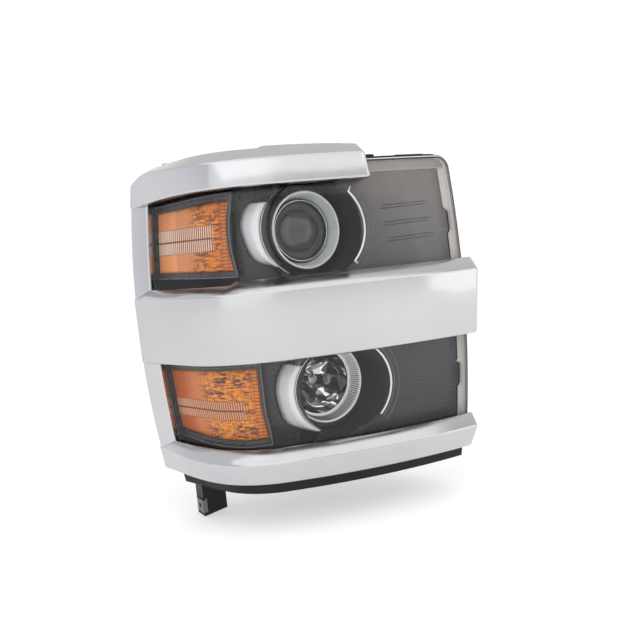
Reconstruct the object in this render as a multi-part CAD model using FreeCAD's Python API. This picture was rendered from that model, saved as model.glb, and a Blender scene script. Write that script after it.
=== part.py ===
"""Pickup-truck headlight assembly: stacked low and high beams, wrap-around amber turn signals and a plated trim.

Lamp coordinates, in millimetres: X inboard, Y rearward, Z up, with Y = 0 near the front of the low beam.
Every piece is made in lamp coordinates and moved to the row frame, whose origin is the lower bracket's nut, when it
is exported. The front of the lamp follows one plan curve: a shallow front arc, a tight corner arc and a straight
side. A station s is the distance along that curve from the inboard end, and an offset d is the distance outward
from the lens's outer surface, which also bows in height about a long radius.
"""
import FreeCAD
import Part
import math
import os

Vector = FreeCAD.Vector

# Plan curve of the lens's outer surface
FRONT_LENGTH, CORNER_LENGTH = 246.0, 106.0
HEADING_START, HEADING_FRONT, HEADING_SIDE = 1.0, 22.0, 74.0   # degrees from straight across
INBOARD_END = (174.0, -32.0)
BOW_RADIUS, BOW_MIDDLE = 1000.0, 17.0      # the surface's bow in height, and the height of its crown
FAR_STATION = 470.0
LONG_EDGE = 35.0                            # profile edges taller than this follow the bow as an arc

# Outer lens and the gutter that holds it
LENS_LENGTH, LENS_TOP, LENS_BOTTOM = 428.0, 186.0, -171.0
LENS_WALL, LEG_DEPTH, LENS_CORNER = 3.0, 26.0, 15.0     # the corner is the top inboard one
SEAL_DEPTH = 3.0
GUTTER_FRONT, GUTTER_BACK = -12.0, -32.0
GUTTER_WALL, GUTTER_GAP = 3.0, 0.5
WALL = 3.0                                  # housing wall
REAR = 208.0                                # outer face of the housing's rear wall
SKIRT, SKIRT_DROP = 6.0, 16.0               # the skirt's thickness, and its drop below the lens
RIB, RIB_HEIGHT = 2.5, 3.0
RAILS = [(96.0, 122.0, 192.0), (26.0, 66.0, 190.4)]     # low rails on the gutter: stations and top

# Lamp axes, both straight back along Y: (x, z)
LOW, HIGH = (0.0, 112.0), (7.0, -68.0)
LOW_MOUTH, HIGH_MOUTH = (-4.0, 112.7), (14.0, -72.4)    # centres of the two shrouds
LOW_SHROUD_R, HIGH_SHROUD_R = 57.0, 55.5
SHROUD_WALL = 2.5
BEZEL_OFFSET, BEZEL_WALL = -12.5, 2.5       # the inner bezel's front face behind the lens surface
FLOOR_OFFSET = -33.0                        # the recessed floor outboard of the shrouds
FLOOR_START = 226.0

# Aiming
LOW_PLATE, HIGH_PLATE = 76.0, 66.0          # front faces of the carriage plates
PLATE = 4.0
PIVOT_X, PIVOT_Z = 50.0, 38.0               # pivots, from each lamp's axis
SCREW_X, SCREW_Z = 45.0, -46.0              # adjusting screw, from each lamp's axis
BALL_R, BALL_PLAY = 5.0, 0.3
SCREW_R = 3.0
SOCKET_R, NUT_BODY_R = 8.0, 7.0             # bodies of the pivot sockets and the adjuster nuts
POST_R, STUD_R, POST_GAP = 6.5, 2.5, 16.0   # posts inside the housing, their studs and the gap to the ball

# Rear caps, bulbs and turn-signal sockets all lock with the same three-lug bayonet
LUGS, LEDGE_SPAN, LUG_SPAN = 3, 60.0, 30.0
CAP_BORE, CAP_BOSS = 38.3, 45.0
COLLAR_BORE = 14.6
LOW_COLLAR, HIGH_COLLAR = 148.0, 104.0      # where the bulb collars start
SOCKET_BORE, SOCKET_OFFSET = 15.5, -54.0
VENTS = [(-48.0, 34.0), (-48.0, 8.0)]       # x and z on the rear wall
CONNECTOR = (18.0, 22.0)

# Projector glass and the high beam's bowl, by radius and depth
GLASS_R, GLASS_APEX, GLASS_RIM, GLASS_BACK = 35.0, 34.0, 51.0, 54.0
HIGH_BOWL_MOUTH = 47.0

# Turn signals: the stations where the two amber lenses start, where both end, and their height ranges
UPPER_AMBER_START, LOWER_AMBER_START, AMBER_END = 286.5, 268.5, 418.5
UPPER_AMBER, LOWER_AMBER = (75.5, 149.5), (-122.0, -37.0)
FRAME_EDGE = 5.5                            # the turn frame's width inboard of the amber lens
AMBER_OFFSET, AMBER_WALL = -14.5, 2.5
UPPER_TURN_Z, LOWER_TURN_Z = 112.0, -80.0

# Plated trim: (offset, height) of each bar's upper edge, crease and lower edge
TOP_BAR = [(1.0, 205.0), (14.3, 191.0), (14.1, 165.2)]
MIDDLE_BAR = [(2.0, 61.0), (16.6, 48.0), (9.1, -26.6)]
BOTTOM_BAR = [(2.0, -130.4), (17.6, -143.2), (13.4, -166.3)]
TOP_BAR_START, MIDDLE_BAR_START, BOTTOM_BAR_START = 120.0, -8.0, -3.0
SIDE_STRIP_START, TRIM_END = 414.0, 436.7
SIDE_STRIP_OFFSET = 10.0
TRIM_WALL = 2.5
TAB_STATION, TAB_BACK = 432.6, -28.0       # tabs that clip behind the gutter's outboard end
TRIM_SCREW_STATIONS = (140.0, 235.0, 330.0, 410.0)
TOP_FLANGE_DEPTH = 28.0

# Mounting
BRACKET_NUT = Vector(-118.0, 159.5, -217.0)     # on the outboard face of the lower foot
BRACKET_WIDTH, BRACKET_DEPTH, BRACKET_WALL = 31.0, 22.0, 3.0
NUT_R, NUT_CLEAR_R, NUT_BARREL = 3.0, 5.2, 6.0
UPPER_MOUNTS = [(-66.0, 128.0, 210.0), (118.0, 70.0, 200.0)]     # x, y and the boss's top
MOUNT_HOLE_R, MOUNT_BOSS_R = 4.5, 9.0

FRONT_R = FRONT_LENGTH / math.radians(HEADING_FRONT - HEADING_START)
CORNER_R = CORNER_LENGTH / math.radians(HEADING_SIDE - HEADING_FRONT)
BACK = Vector(0, 1, 0)
UP = Vector(0, 0, 1)

parts = {}


# ---------------------------------------------------------------- the plan curve and sweeps along it

def normal(heading):
    """Outward direction where the curve has this heading."""
    a = math.radians(heading)
    return Vector(-math.sin(a), -math.cos(a), 0)


FRONT_CENTRE = Vector(*INBOARD_END, 0) - normal(HEADING_START) * FRONT_R
CORNER_CENTRE = FRONT_CENTRE + normal(HEADING_FRONT) * (FRONT_R - CORNER_R)
SIDE_START = CORNER_CENTRE + normal(HEADING_SIDE) * CORNER_R
ALONG_SIDE = Vector(-math.cos(math.radians(HEADING_SIDE)), math.sin(math.radians(HEADING_SIDE)), 0)
SLANT = Vector(-ALONG_SIDE.y, ALONG_SIDE.x, 0)      # outboard along the slanted part of the rear wall
SLANT_CORNER = Vector(-62.0, REAR, 0)
SIDE_STATION = FRONT_LENGTH + CORNER_LENGTH


def heading(s):
    if s < FRONT_LENGTH:
        return HEADING_START + math.degrees(s / FRONT_R)
    return min(HEADING_SIDE, HEADING_FRONT + math.degrees((s - FRONT_LENGTH) / CORNER_R))


def at(s, d, z=0.0):
    """The point at station s and offset d, at height z, with the surface's bow left out."""
    n = normal(heading(s))
    if s < FRONT_LENGTH:
        p = FRONT_CENTRE + n * (FRONT_R + d)
    elif s < SIDE_STATION:
        p = CORNER_CENTRE + n * (CORNER_R + d)
    else:
        p = SIDE_START + ALONG_SIDE * (s - SIDE_STATION) + n * d
    return Vector(p.x, p.y, z)


def bow(z):
    return -(z - BOW_MIDDLE) ** 2 / (2 * BOW_RADIUS)


def profile_face(points, s):
    """A face in the upright plane across the curve at station s, from (offset, height) points."""
    edges = []
    for (d0, z0), (d1, z1) in zip(points, points[1:] + points[:1]):
        p0, p1 = at(s, d0 + bow(z0), z0), at(s, d1 + bow(z1), z1)
        if abs(z1 - z0) > LONG_EDGE:
            zm = (z0 + z1) / 2
            edges.append(Part.Arc(p0, at(s, (d0 + d1) / 2 + bow(zm), zm), p1).toShape())
        else:
            edges.append(Part.makeLine(p0, p1))
    return Part.Face(Part.Wire(edges))


def sweep(points, s0, s1):
    """A solid with this (offset, height) profile, following the plan curve from s0 to s1."""
    pieces = []
    for start, end, centre in ((-60, FRONT_LENGTH, FRONT_CENTRE), (FRONT_LENGTH, SIDE_STATION, CORNER_CENTRE),
                               (SIDE_STATION, FAR_STATION, None)):
        a, b = max(s0, start), min(s1, end)
        if b - a < 1e-6:
            continue
        face = profile_face(points, a)
        if centre is None:
            pieces.append(face.extrude(ALONG_SIDE * (b - a)))
        else:
            pieces.append(face.revolve(centre, UP, heading(a) - heading(b)))
    return fuse(pieces)


def block(s0, s1, d0, d1, z0, z1):
    """A swept block between two stations, two offsets and two heights."""
    return sweep([(d0, z0), (d1, z0), (d1, z1), (d0, z1)], s0, s1)


def fuse(shapes):
    whole = shapes[0]
    if len(shapes) > 1:
        whole = shapes[0].multiFuse(shapes[1:]).removeSplitter()
    return whole.Solids[0] if len(whole.Solids) == 1 else whole


# ---------------------------------------------------------------- turned shapes and small helpers

def lathe(points, origin, direction=BACK, angle=360.0, start=0.0):
    """Turns an (r, h) outline about the line from origin along direction, with h counted from origin."""
    wire = Part.makePolygon([Vector(r, 0, h) for r, h in points + points[:1]])
    return lathe_wire(wire, origin, direction, angle, start)


def lathe_wire(wire, origin, direction=BACK, angle=360.0, start=0.0):
    solid = Part.Face(wire).revolve(Vector(0, 0, 0), UP, angle)
    solid.rotate(Vector(0, 0, 0), UP, start)
    turn = FreeCAD.Placement(Vector(*origin), FreeCAD.Rotation(UP, Vector(*direction)))
    solid.Placement = turn.multiply(solid.Placement)
    return solid


def rod(r, h0, h1, origin, direction=BACK):
    return lathe([(0, h0), (r, h0), (r, h1), (0, h1)], origin, direction)


def tube(r_in, r_out, h0, h1, origin, direction=BACK):
    return lathe([(r_in, h0), (r_out, h0), (r_out, h1), (r_in, h1)], origin, direction)


def box(x0, x1, y0, y1, z0, z1):
    return Part.makeBox(x1 - x0, y1 - y0, z1 - z0, Vector(x0, y0, z0))


def prism(points, depth):
    """Extrudes a closed polygon of points by a vector."""
    return Part.Face(Part.makePolygon(points + points[:1])).extrude(depth)


def axis_origin(axis):
    return (axis[0], 0.0, axis[1])


def bayonet(r_in, r_out, h0, h1, span, origin, direction=BACK):
    """Three ring sectors: the ledges of a bayonet, or its lugs."""
    return [lathe([(r_in, h0), (r_out, h0), (r_out, h1), (r_in, h1)], origin, direction, span,
                  i * 360.0 / LUGS - span / 2) for i in range(LUGS)]


# ---------------------------------------------------------------- outer lens, seal and trim

def outside_corner(inset):
    """What lies outside the rounded top inboard corner of the lens's outline, drawn in by inset."""
    x, z = INBOARD_END[0] - LENS_CORNER, LENS_TOP - LENS_CORNER
    return box(x, x + 60, -90, 70, z, z + 60).cut(rod(LENS_CORNER - inset, -100, 80, (x, 0, z)))


def outline_block(inset, d0, d1):
    """The lens's outline drawn in by inset, as a swept block between two offsets."""
    whole = block(inset, LENS_LENGTH - inset, d0, d1, LENS_BOTTOM + inset, LENS_TOP - inset)
    return whole.cut(outside_corner(inset))


def make_lens():
    parts["outer_lens"] = outline_block(0, -LEG_DEPTH, 0).cut(outline_block(LENS_WALL, -LEG_DEPTH - 10, -LENS_WALL))
    ring = outline_block(0, -LEG_DEPTH - SEAL_DEPTH, -LEG_DEPTH)
    parts["lens_seal"] = ring.cut(outline_block(LENS_WALL, -LEG_DEPTH - 2 * SEAL_DEPTH, 0))


def bar_profile(edges, back):
    """A bar's shell: its upper edge, crease and lower edge, and the same line one wall further in."""
    (d0, z0), (d1, z1), (d2, z2) = edges
    w = TRIM_WALL
    return [(d0, z0), (d1, z1), (d2, z2), (back, z2 - 1.0), (back, z2 + w), (d2 - w, z2 + w + 0.6),
            (d1 - w, z1 - w * 0.4), (d0, z0 - w * 1.3)]


def end_cap(edges, back, s0):
    """The wall that closes the inboard end of a bar."""
    lip = [(back, edges[2][1] + 1), (back, edges[0][1] - TRIM_WALL)]
    return sweep(edges + lip, s0, s0 + TRIM_WALL)


def make_trim():
    top = sweep(bar_profile(TOP_BAR, 3.0), TOP_BAR_START, TRIM_END)
    flange = block(TOP_BAR_START, TRIM_END - 6, -TOP_FLANGE_DEPTH, TOP_BAR[0][0] + 0.5,
                   TOP_BAR[0][1] - TRIM_WALL, TOP_BAR[0][1])
    middle = sweep(bar_profile(MIDDLE_BAR, 1.5), MIDDLE_BAR_START, TRIM_END)
    bottom = sweep(bar_profile(BOTTOM_BAR, 1.5), BOTTOM_BAR_START, TRIM_END)
    caps = [end_cap(TOP_BAR, 3.0, TOP_BAR_START), end_cap(MIDDLE_BAR, 1.5, MIDDLE_BAR_START),
            end_cap(BOTTOM_BAR, 1.5, BOTTOM_BAR_START)]
    strip_bottom, strip_top = BOTTOM_BAR[2][1] + 2, TOP_BAR[1][1]
    strip = block(SIDE_STRIP_START, TRIM_END, 2, SIDE_STRIP_OFFSET, strip_bottom, strip_top)
    hollow = block(SIDE_STRIP_START + TRIM_WALL, TRIM_END - TRIM_WALL, -5, SIDE_STRIP_OFFSET - TRIM_WALL,
                   strip_bottom - 5, strip_top + 5)
    tabs = [block(TAB_STATION, TAB_STATION + TRIM_WALL, TAB_BACK, SIDE_STRIP_OFFSET - 1, z, z + 24)
            for z in (-140.0, -12.0, 100.0, 150.0)]
    tabs.append(block(MIDDLE_BAR_START, MIDDLE_BAR_START + TRIM_WALL, TAB_BACK, 9, -18, 42))
    trim = fuse([top, flange, middle, bottom, strip.cut(hollow)] + caps + tabs)
    screws = []
    for seat in trim_screw_seats():
        screws.append(fuse([rod(4.2, TOP_BAR[0][1] + 0.05, TOP_BAR[0][1] + 2.6, seat, UP),
                            rod(1.85, 191.0, TOP_BAR[0][1] + 0.2, seat, UP)]))
        trim = trim.cut(rod(2.1, 150, 230, seat, UP))
    parts["chrome_trim"] = trim
    parts["trim_screws"] = Part.makeCompound(screws)


# ---------------------------------------------------------------- housing

def plan_region(i):
    """The housing's plan outline, drawn in by i, and running past the lens surface that trims it."""
    side_end = SLANT_CORNER + SLANT * 110.0
    return [Vector(171 - i, -80, 0), Vector(171 - i, 62, 0), Vector(150 - i * 0.9, 128 - i * 0.5, 0),
            Vector(62 - i * 0.4, REAR - i, 0), SLANT_CORNER + Vector(i * 0.14, -i, 0), side_end - ALONG_SIDE * i,
            Vector(-240, -80, 0)]


def side_region(i):
    """The housing's outline seen from the side, drawn in by i."""
    return [Vector(0, -80, 187 - i), Vector(0, 60, 187 - i), Vector(0, 150, 178 - i), Vector(0, REAR - i, 162 - i),
            Vector(0, REAR - i, -136 + i), Vector(0, 112, -172 + i), Vector(0, -80, -172 + i)]


def housing_block(inset):
    plan = prism(plan_region(inset), Vector(0, 0, 400))
    plan.translate(Vector(0, 0, -200))
    side = prism(side_region(inset), Vector(500, 0, 0))
    side.translate(Vector(-250, 0, 0))
    return plan.common(side)


def in_front(offset):
    """Everything in front of the surface at this offset."""
    return block(-58, FAR_STATION - 2, offset, 220, -260, 260)


def gutter_opening():
    return outline_block(LENS_WALL + GUTTER_GAP + GUTTER_WALL - 1.0, GUTTER_BACK - 5, 5)


def lens_space():
    """The groove that the lens's legs and the sealant fill."""
    groove = outline_block(-GUTTER_GAP, -LEG_DEPTH - SEAL_DEPTH - 0.2, 5)
    return groove.cut(outline_block(LENS_WALL + GUTTER_GAP, -60, 6))


def gutter():
    """The channel that takes the lens's legs and the sealant, and the skirt that hangs below it."""
    outer = GUTTER_GAP + GUTTER_WALL
    channel = outline_block(-outer, GUTTER_BACK, GUTTER_FRONT).cut(gutter_opening())
    rails = [block(s0, s1, GUTTER_BACK + 8, GUTTER_FRONT - 2, LENS_TOP + outer - 1, top) for s0, s1, top in RAILS]
    skirt = sweep([(GUTTER_FRONT, LENS_BOTTOM - SKIRT_DROP), (GUTTER_FRONT + SKIRT, LENS_BOTTOM - SKIRT_DROP),
                   (GUTTER_FRONT + SKIRT, LENS_BOTTOM - outer + 1), (GUTTER_BACK + 3, LENS_BOTTOM - outer + 1),
                   (GUTTER_BACK + 3, LENS_BOTTOM - outer - 3), (GUTTER_FRONT, LENS_BOTTOM - outer - 3)], 2, LENS_LENGTH)
    return [channel, skirt] + rails


def turn_axis(z):
    """Where a turn-signal socket's axis meets the slanted rear wall's outer face."""
    start = at(SIDE_STATION, SOCKET_OFFSET, z)
    reach = (SLANT_CORNER - start).dot(ALONG_SIDE)
    return start + ALONG_SIDE * reach


def pivots(axis):
    return [(axis[0] + side * PIVOT_X, axis[1] + PIVOT_Z) for side in (-1, 1)]


def screw_axis(axis):
    return (axis[0] + SCREW_X, axis[1] + SCREW_Z)


def make_housing():
    cavity = housing_block(WALL).cut(in_front(GUTTER_BACK))
    shell = housing_block(0).cut(in_front(GUTTER_BACK + WALL)).cut(cavity).cut(gutter_opening())
    adds, cuts = gutter(), []
    for axis in (LOW, HIGH):
        o = axis_origin(axis)
        adds.append(rod(CAP_BOSS, REAR - 12, REAR + 4, o))
        cuts.append(rod(CAP_BORE, REAR - 20, REAR + 10, o))
        screw = axis_origin(screw_axis(axis))
        adds.append(rod(10, REAR - 6, REAR - 1, screw))
        cuts.append(rod(SCREW_R + 0.5, REAR - 10, REAR + 5, screw))
    for axis, plate in ((LOW, LOW_PLATE), (HIGH, HIGH_PLATE)):
        for x, z in pivots(axis):
            tip = plate + PLATE / 2 + POST_GAP
            adds.append(lathe([(0, tip), (POST_R, tip), (POST_R + 2, REAR - 1), (0, REAR - 1)], (x, 0, z)))
            cuts.append(rod(STUD_R + 0.05, tip - 1, tip + 8, (x, 0, z)))
    for z in (UPPER_TURN_Z, LOWER_TURN_Z):
        o = turn_axis(z)
        adds.append(rod(SOCKET_BORE + 3.0, -8, 5, o, ALONG_SIDE))
        cuts.append(rod(SOCKET_BORE, -20, 20, o, ALONG_SIDE))
    for x, z in VENTS:
        adds.append(rod(8, REAR - 1, REAR + 2, (x, 0, z)))
        cuts.append(rod(4.0, REAR - 10, REAR + 10, (x, 0, z)))
    x, z = CONNECTOR
    cuts.append(box(x - 14, x + 14, REAR - 10, REAR + 10, z - 9, z + 9))
    adds += rear_ribs() + mount_bosses() + [lower_bracket()]
    body = fuse([shell] + adds)
    corner = outside_corner(-GUTTER_GAP - GUTTER_WALL)
    for c in cuts + mount_holes() + [bracket_slot(), lens_space(), corner]:
        body = body.cut(c)
    ledges = []
    for axis in (LOW, HIGH):
        ledges += bayonet(CAP_BORE - 2.8, CAP_BORE + 1, REAR - 8, REAR - 4, LEDGE_SPAN, axis_origin(axis))
    for z in (UPPER_TURN_Z, LOWER_TURN_Z):
        ledges += bayonet(SOCKET_BORE - 2.2, SOCKET_BORE + 1, -1.5, 1.5, LEDGE_SPAN, turn_axis(z), ALONG_SIDE)
    parts["housing"] = fuse([body] + ledges)


def rear_ribs():
    """Low stiffening ribs that stand out of the slanted walls beside the caps."""
    skin = housing_block(-RIB_HEIGHT).cut(housing_block(1))
    uprights = [box(x, x + RIB, 60, REAR + RIB_HEIGHT, -112, 142) for x in (84.0, 108.0, 132.0)]
    levels = [box(74, 166, 60, REAR + RIB_HEIGHT, z, z + RIB) for z in (-64.0, 14.0, 92.0)]
    return [skin.common(slab) for slab in uprights + levels]


def mount_bosses():
    bosses = []
    for x, y, top in UPPER_MOUNTS:
        bosses.append(rod(MOUNT_BOSS_R, 176, top, (x, y, 0), UP))
        bosses.append(box(x - 1.5, x + 1.5, y - 26, y + 26, 176, top - 8))
        bosses.append(box(x - 22, x + 22, y - 1.5, y + 1.5, 176, top - 8))
    for seat in trim_screw_seats():
        bosses.append(rod(4.5, 188, TOP_BAR[0][1] - TRIM_WALL - 0.1, seat, UP))
    return bosses


def trim_screw_seats():
    return [at(s, -20 + bow(TOP_BAR[0][1])) for s in TRIM_SCREW_STATIONS]


def mount_holes():
    holes = [rod(MOUNT_HOLE_R, top - 18, top + 5, (x, y, 0), UP) for x, y, top in UPPER_MOUNTS]
    return holes + [rod(1.95, 190, 230, seat, UP) for seat in trim_screw_seats()]


def lower_bracket():
    """A box-shaped foot that hangs from the lower rear corner and carries a spring nut on its outboard wall."""
    x0, y0, z0 = BRACKET_NUT.x, BRACKET_NUT.y - 9.5, BRACKET_NUT.z - 13
    x1, y1 = x0 + BRACKET_WIDTH, y0 + BRACKET_DEPTH
    w = BRACKET_WALL
    outline = [Vector(x0, y0, -150), Vector(x1, y0, -150), Vector(x1, y0, z0 + 4), Vector(x0, y0, z0)]
    foot = prism(outline, Vector(0, BRACKET_DEPTH, 0))
    hollow = box(x0 + w, x1 - w, y0 + w, y1 + 5, z0 - 10, -178)
    return foot.cut(hollow)


def bracket_slot():
    """The keyway that the spring nut is pushed over, open at the foot's front face."""
    x, y, z = BRACKET_NUT
    through = rod(NUT_CLEAR_R, -10, 10, BRACKET_NUT, Vector(-1, 0, 0))
    return through.fuse(box(x + BRACKET_WALL - 0.5, x + BRACKET_WALL + 2.5, y - 12, y - 4, z - 9, z + 9))


def make_nut():
    """The foot's spring nut: a clip folded over the wall's front edge, with a threaded barrel inside."""
    x, y, z = BRACKET_NUT
    t, inner = 1.2, x + BRACKET_WALL + 0.2
    front = y - 9.5 - t - 0.2
    plates = [box(x - 0.2 - t, x - 0.2, front, y + 8, z - 8, z + 8), box(inner, inner + t, front, y + 8, z - 8, z + 8)]
    fold = box(x - 0.2 - t, inner + t, front, front + t, z - 8, z + 8)
    barrel = rod(5.0, -BRACKET_WALL - NUT_BARREL, 0.2, BRACKET_NUT, Vector(-1, 0, 0))
    nut = fuse(plates + [fold, barrel])
    parts["lower_spring_nut"] = nut.cut(rod(NUT_R, -20, 20, BRACKET_NUT, Vector(-1, 0, 0)))


def make_rear_fittings():
    vents = []
    for x, z in VENTS:
        neck = tube(2.4, 3.8, REAR - 6, REAR + 2.2, (x, 0, z))
        body = tube(2.4, 6.0, REAR + 2.2, REAR + 14, (x, 0, z))
        cap = rod(6.0, REAR + 14, REAR + 16, (x, 0, z))
        spout = rod(4.6, 0, 16, (x, REAR + 9, z), Vector(0, 0, -1)).cut(rod(2.4, 4, 18, (x, REAR + 9, z), Vector(0, 0, -1)))
        inside = rod(2.4, REAR - 8, REAR + 14, (x, 0, z))
        vents.append(fuse([neck, body, cap, spout]).cut(inside))
    parts["vent_elbows"] = Part.makeCompound(vents)
    x, z = CONNECTOR
    flange = box(x - 22, x + 22, REAR + 0.2, REAR + 3, z - 14, z + 14)
    shroud = box(x - 18, x + 18, REAR + 3, REAR + 20, z - 11, z + 11)
    socket = box(x - 16, x + 16, REAR + 6, REAR + 21, z - 9, z + 9)
    plug = box(x - 13.5, x + 13.5, REAR - 6, REAR + 3, z - 8.5, z + 8.5)
    pins = [box(x + dx - 0.6, x + dx + 0.6, REAR + 5, REAR + 16, z + dz - 0.6, z + dz + 0.6)
            for dx in (-10.5, -3.5, 3.5, 10.5) for dz in (-4, 4)]
    parts["main_connector"] = fuse([flange, shroud.cut(socket), plug] + pins)


# ---------------------------------------------------------------- inner bezel, shrouds and bright details

def make_bezel():
    back = BEZEL_OFFSET - BEZEL_WALL
    panel = block(8, FLOOR_START + BEZEL_WALL, back, BEZEL_OFFSET, LENS_BOTTOM + 10, LENS_TOP - 10)
    wall = block(FLOOR_START, FLOOR_START + BEZEL_WALL, FLOOR_OFFSET, back + 0.5, LENS_BOTTOM + 10, LENS_TOP - 10)
    floor = block(FLOOR_START, UPPER_AMBER_START - FRAME_EDGE, FLOOR_OFFSET, FLOOR_OFFSET + BEZEL_WALL,
                  LENS_BOTTOM + 10, LENS_TOP - 10)
    lower_unit = block(LOWER_AMBER_START - FRAME_EDGE, 300, FLOOR_OFFSET - 10, 0, LENS_BOTTOM, BOW_MIDDLE)
    bezel = fuse([panel, wall, floor]).cut(lower_unit)
    for (x, z), r in ((LOW_MOUTH, LOW_SHROUD_R), (HIGH_MOUTH, HIGH_SHROUD_R)):
        bezel = bezel.cut(rod(r + 3.2, -80, 120, (x, 0, z)))
        bezel = bezel.cut(rod(r + 14, -80, 120, (x, 0, z)).common(box(-200, x - 34, -80, 120, -300, 300)))
    parts["inner_bezel"] = bezel


def make_shroud(name, mouth, r, lamp, back):
    """A dark tube from the bezel's surface back to a floor with a hole for the lamp."""
    o = axis_origin(mouth)
    tube_part = tube(r - SHROUD_WALL, r, -60, back, o)
    floor = rod(r, back - SHROUD_WALL, back, o)
    hole = rod(49.4, back - 20, back + 20, axis_origin(lamp))
    parts[name + "_shroud"] = fuse([tube_part, floor]).cut(hole).cut(in_front(BEZEL_OFFSET + 0.5))
    arc = tube(r + 0.3, r + 2.8, -60, 40, o).common(block(60, 205, BEZEL_OFFSET - 1, BEZEL_OFFSET + 2.5, -260, 260))
    half = box(mouth[0] + 18, mouth[0] + 90, -80, 60, mouth[1] - 45, mouth[1] + 45)
    parts[name + "_accent_arc"] = arc.common(half)
    cone = lathe([(r + 0.3, 0), (r + 2.3, 0), (r + 12, 62), (r + 10, 62)], o)
    wedge = box(mouth[0] - 90, mouth[0] - 30, -20, 62, mouth[1] - 33, mouth[1] + 33)
    crescent = cone.common(wedge).cut(in_front(BEZEL_OFFSET + 1.5))
    parts[name + "_crescent"] = crescent


def make_turn_frame(name, start, z0, z1):
    outer = block(start - FRAME_EDGE + 0.3, LENS_LENGTH - 9, AMBER_OFFSET - AMBER_WALL - 1, AMBER_OFFSET + 3,
                  z0 - 9, z1 + 9)
    window = block(start - 0.4, AMBER_END + 0.4, -60, 5, z0 - 0.4, z1 + 0.4)
    parts[name + "_turn_frame"] = outer.cut(window)
    lens = block(start, AMBER_END, AMBER_OFFSET - AMBER_WALL, AMBER_OFFSET, z0, z1)
    parts[name + "_amber_lens"] = lens
    mid = (z0 + z1) / 2
    strip = block(330, AMBER_END - 1, AMBER_OFFSET + 0.3, AMBER_OFFSET + 2.0, mid - 15, mid + 15)
    parts[name + "_reflex_strip"] = strip


def make_turn_reflector(name, start, z0, z1, turn_z):
    """An aluminised tray behind the amber lens, deep along the side where the bulb comes in."""
    near, w = AMBER_OFFSET - AMBER_WALL - 1.2, 2.0
    a, b, deep, shallow = start + 2, AMBER_END - 2, -68.0, -38.0
    outer = fuse([block(SIDE_STATION - 6, b, deep, near, z0 + 2, z1 - 2),
                  block(a, SIDE_STATION, shallow, near, z0 + 2, z1 - 2)])
    inner = fuse([block(SIDE_STATION - 6 + w, b - w, deep + w, near + 5, z0 + 2 + w, z1 - 2 - w),
                  block(a + w, SIDE_STATION + w, shallow + w, near + 5, z0 + 2 + w, z1 - 2 - w)])
    hole = rod(14.0, -60, 10, turn_axis(turn_z), ALONG_SIDE)
    parts[name + "_turn_reflector"] = outer.cut(inner).cut(hole)


def make_turn_socket(name, z):
    o = turn_axis(z)
    neck = rod(13.0, -12, 7, o, ALONG_SIDE)
    lugs = bayonet(12.5, 15.2, -5.5, -1.8, LUG_SPAN, o, ALONG_SIDE)
    flange = rod(19.0, 7, 9.5, o, ALONG_SIDE)
    grip = rod(12.5, 9.5, 24, o, ALONG_SIDE)
    flats = [prism_along(o, ALONG_SIDE, side * 9.0, 40, 14, 30) for side in (-1, 1)]
    bore = rod(8.0, -14, -4, o, ALONG_SIDE)
    parts[name + "_turn_socket"] = fuse([neck, flange, grip.cut(flats[0]).cut(flats[1])] + lugs).cut(bore)
    parts[name + "_socket_seal"] = tube(13.2, 18.0, 5.2, 6.9, o, ALONG_SIDE)
    base = rod(7.6, -26, -4.2, o, ALONG_SIDE)
    glass = capsule(9.0, -58, -24, o, ALONG_SIDE)
    parts[name + "_turn_bulb"] = fuse([base, glass])


def prism_along(o, direction, offset, width, h0, h1):
    """A cutting block beside an axis: it starts offset from the axis, across the axis in the level plane."""
    across = Vector(-direction.y, direction.x, 0)
    side = 1 if offset > 0 else -1
    near, far = across * offset, across * (offset + side * 20)
    base = Vector(*o) + direction * h0
    up = Vector(0, 0, width / 2)
    return prism([base + near - up, base + far - up, base + far + up, base + near + up], direction * (h1 - h0))


def capsule(r, h0, h1, origin, direction=BACK):
    """A rod with a round nose at h0."""
    nose = [Vector(0, 0, h0), Vector(r * math.sin(math.pi / 4), 0, h0 + r * (1 - math.cos(math.pi / 4))),
            Vector(r, 0, h0 + r)]
    edges = [Part.Arc(*nose).toShape(), Part.makeLine(nose[2], Vector(r, 0, h1)),
             Part.makeLine(Vector(r, 0, h1), Vector(0, 0, h1)), Part.makeLine(Vector(0, 0, h1), nose[0])]
    return lathe_wire(Part.Wire(edges), origin, direction)


# ---------------------------------------------------------------- low-beam projector

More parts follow.
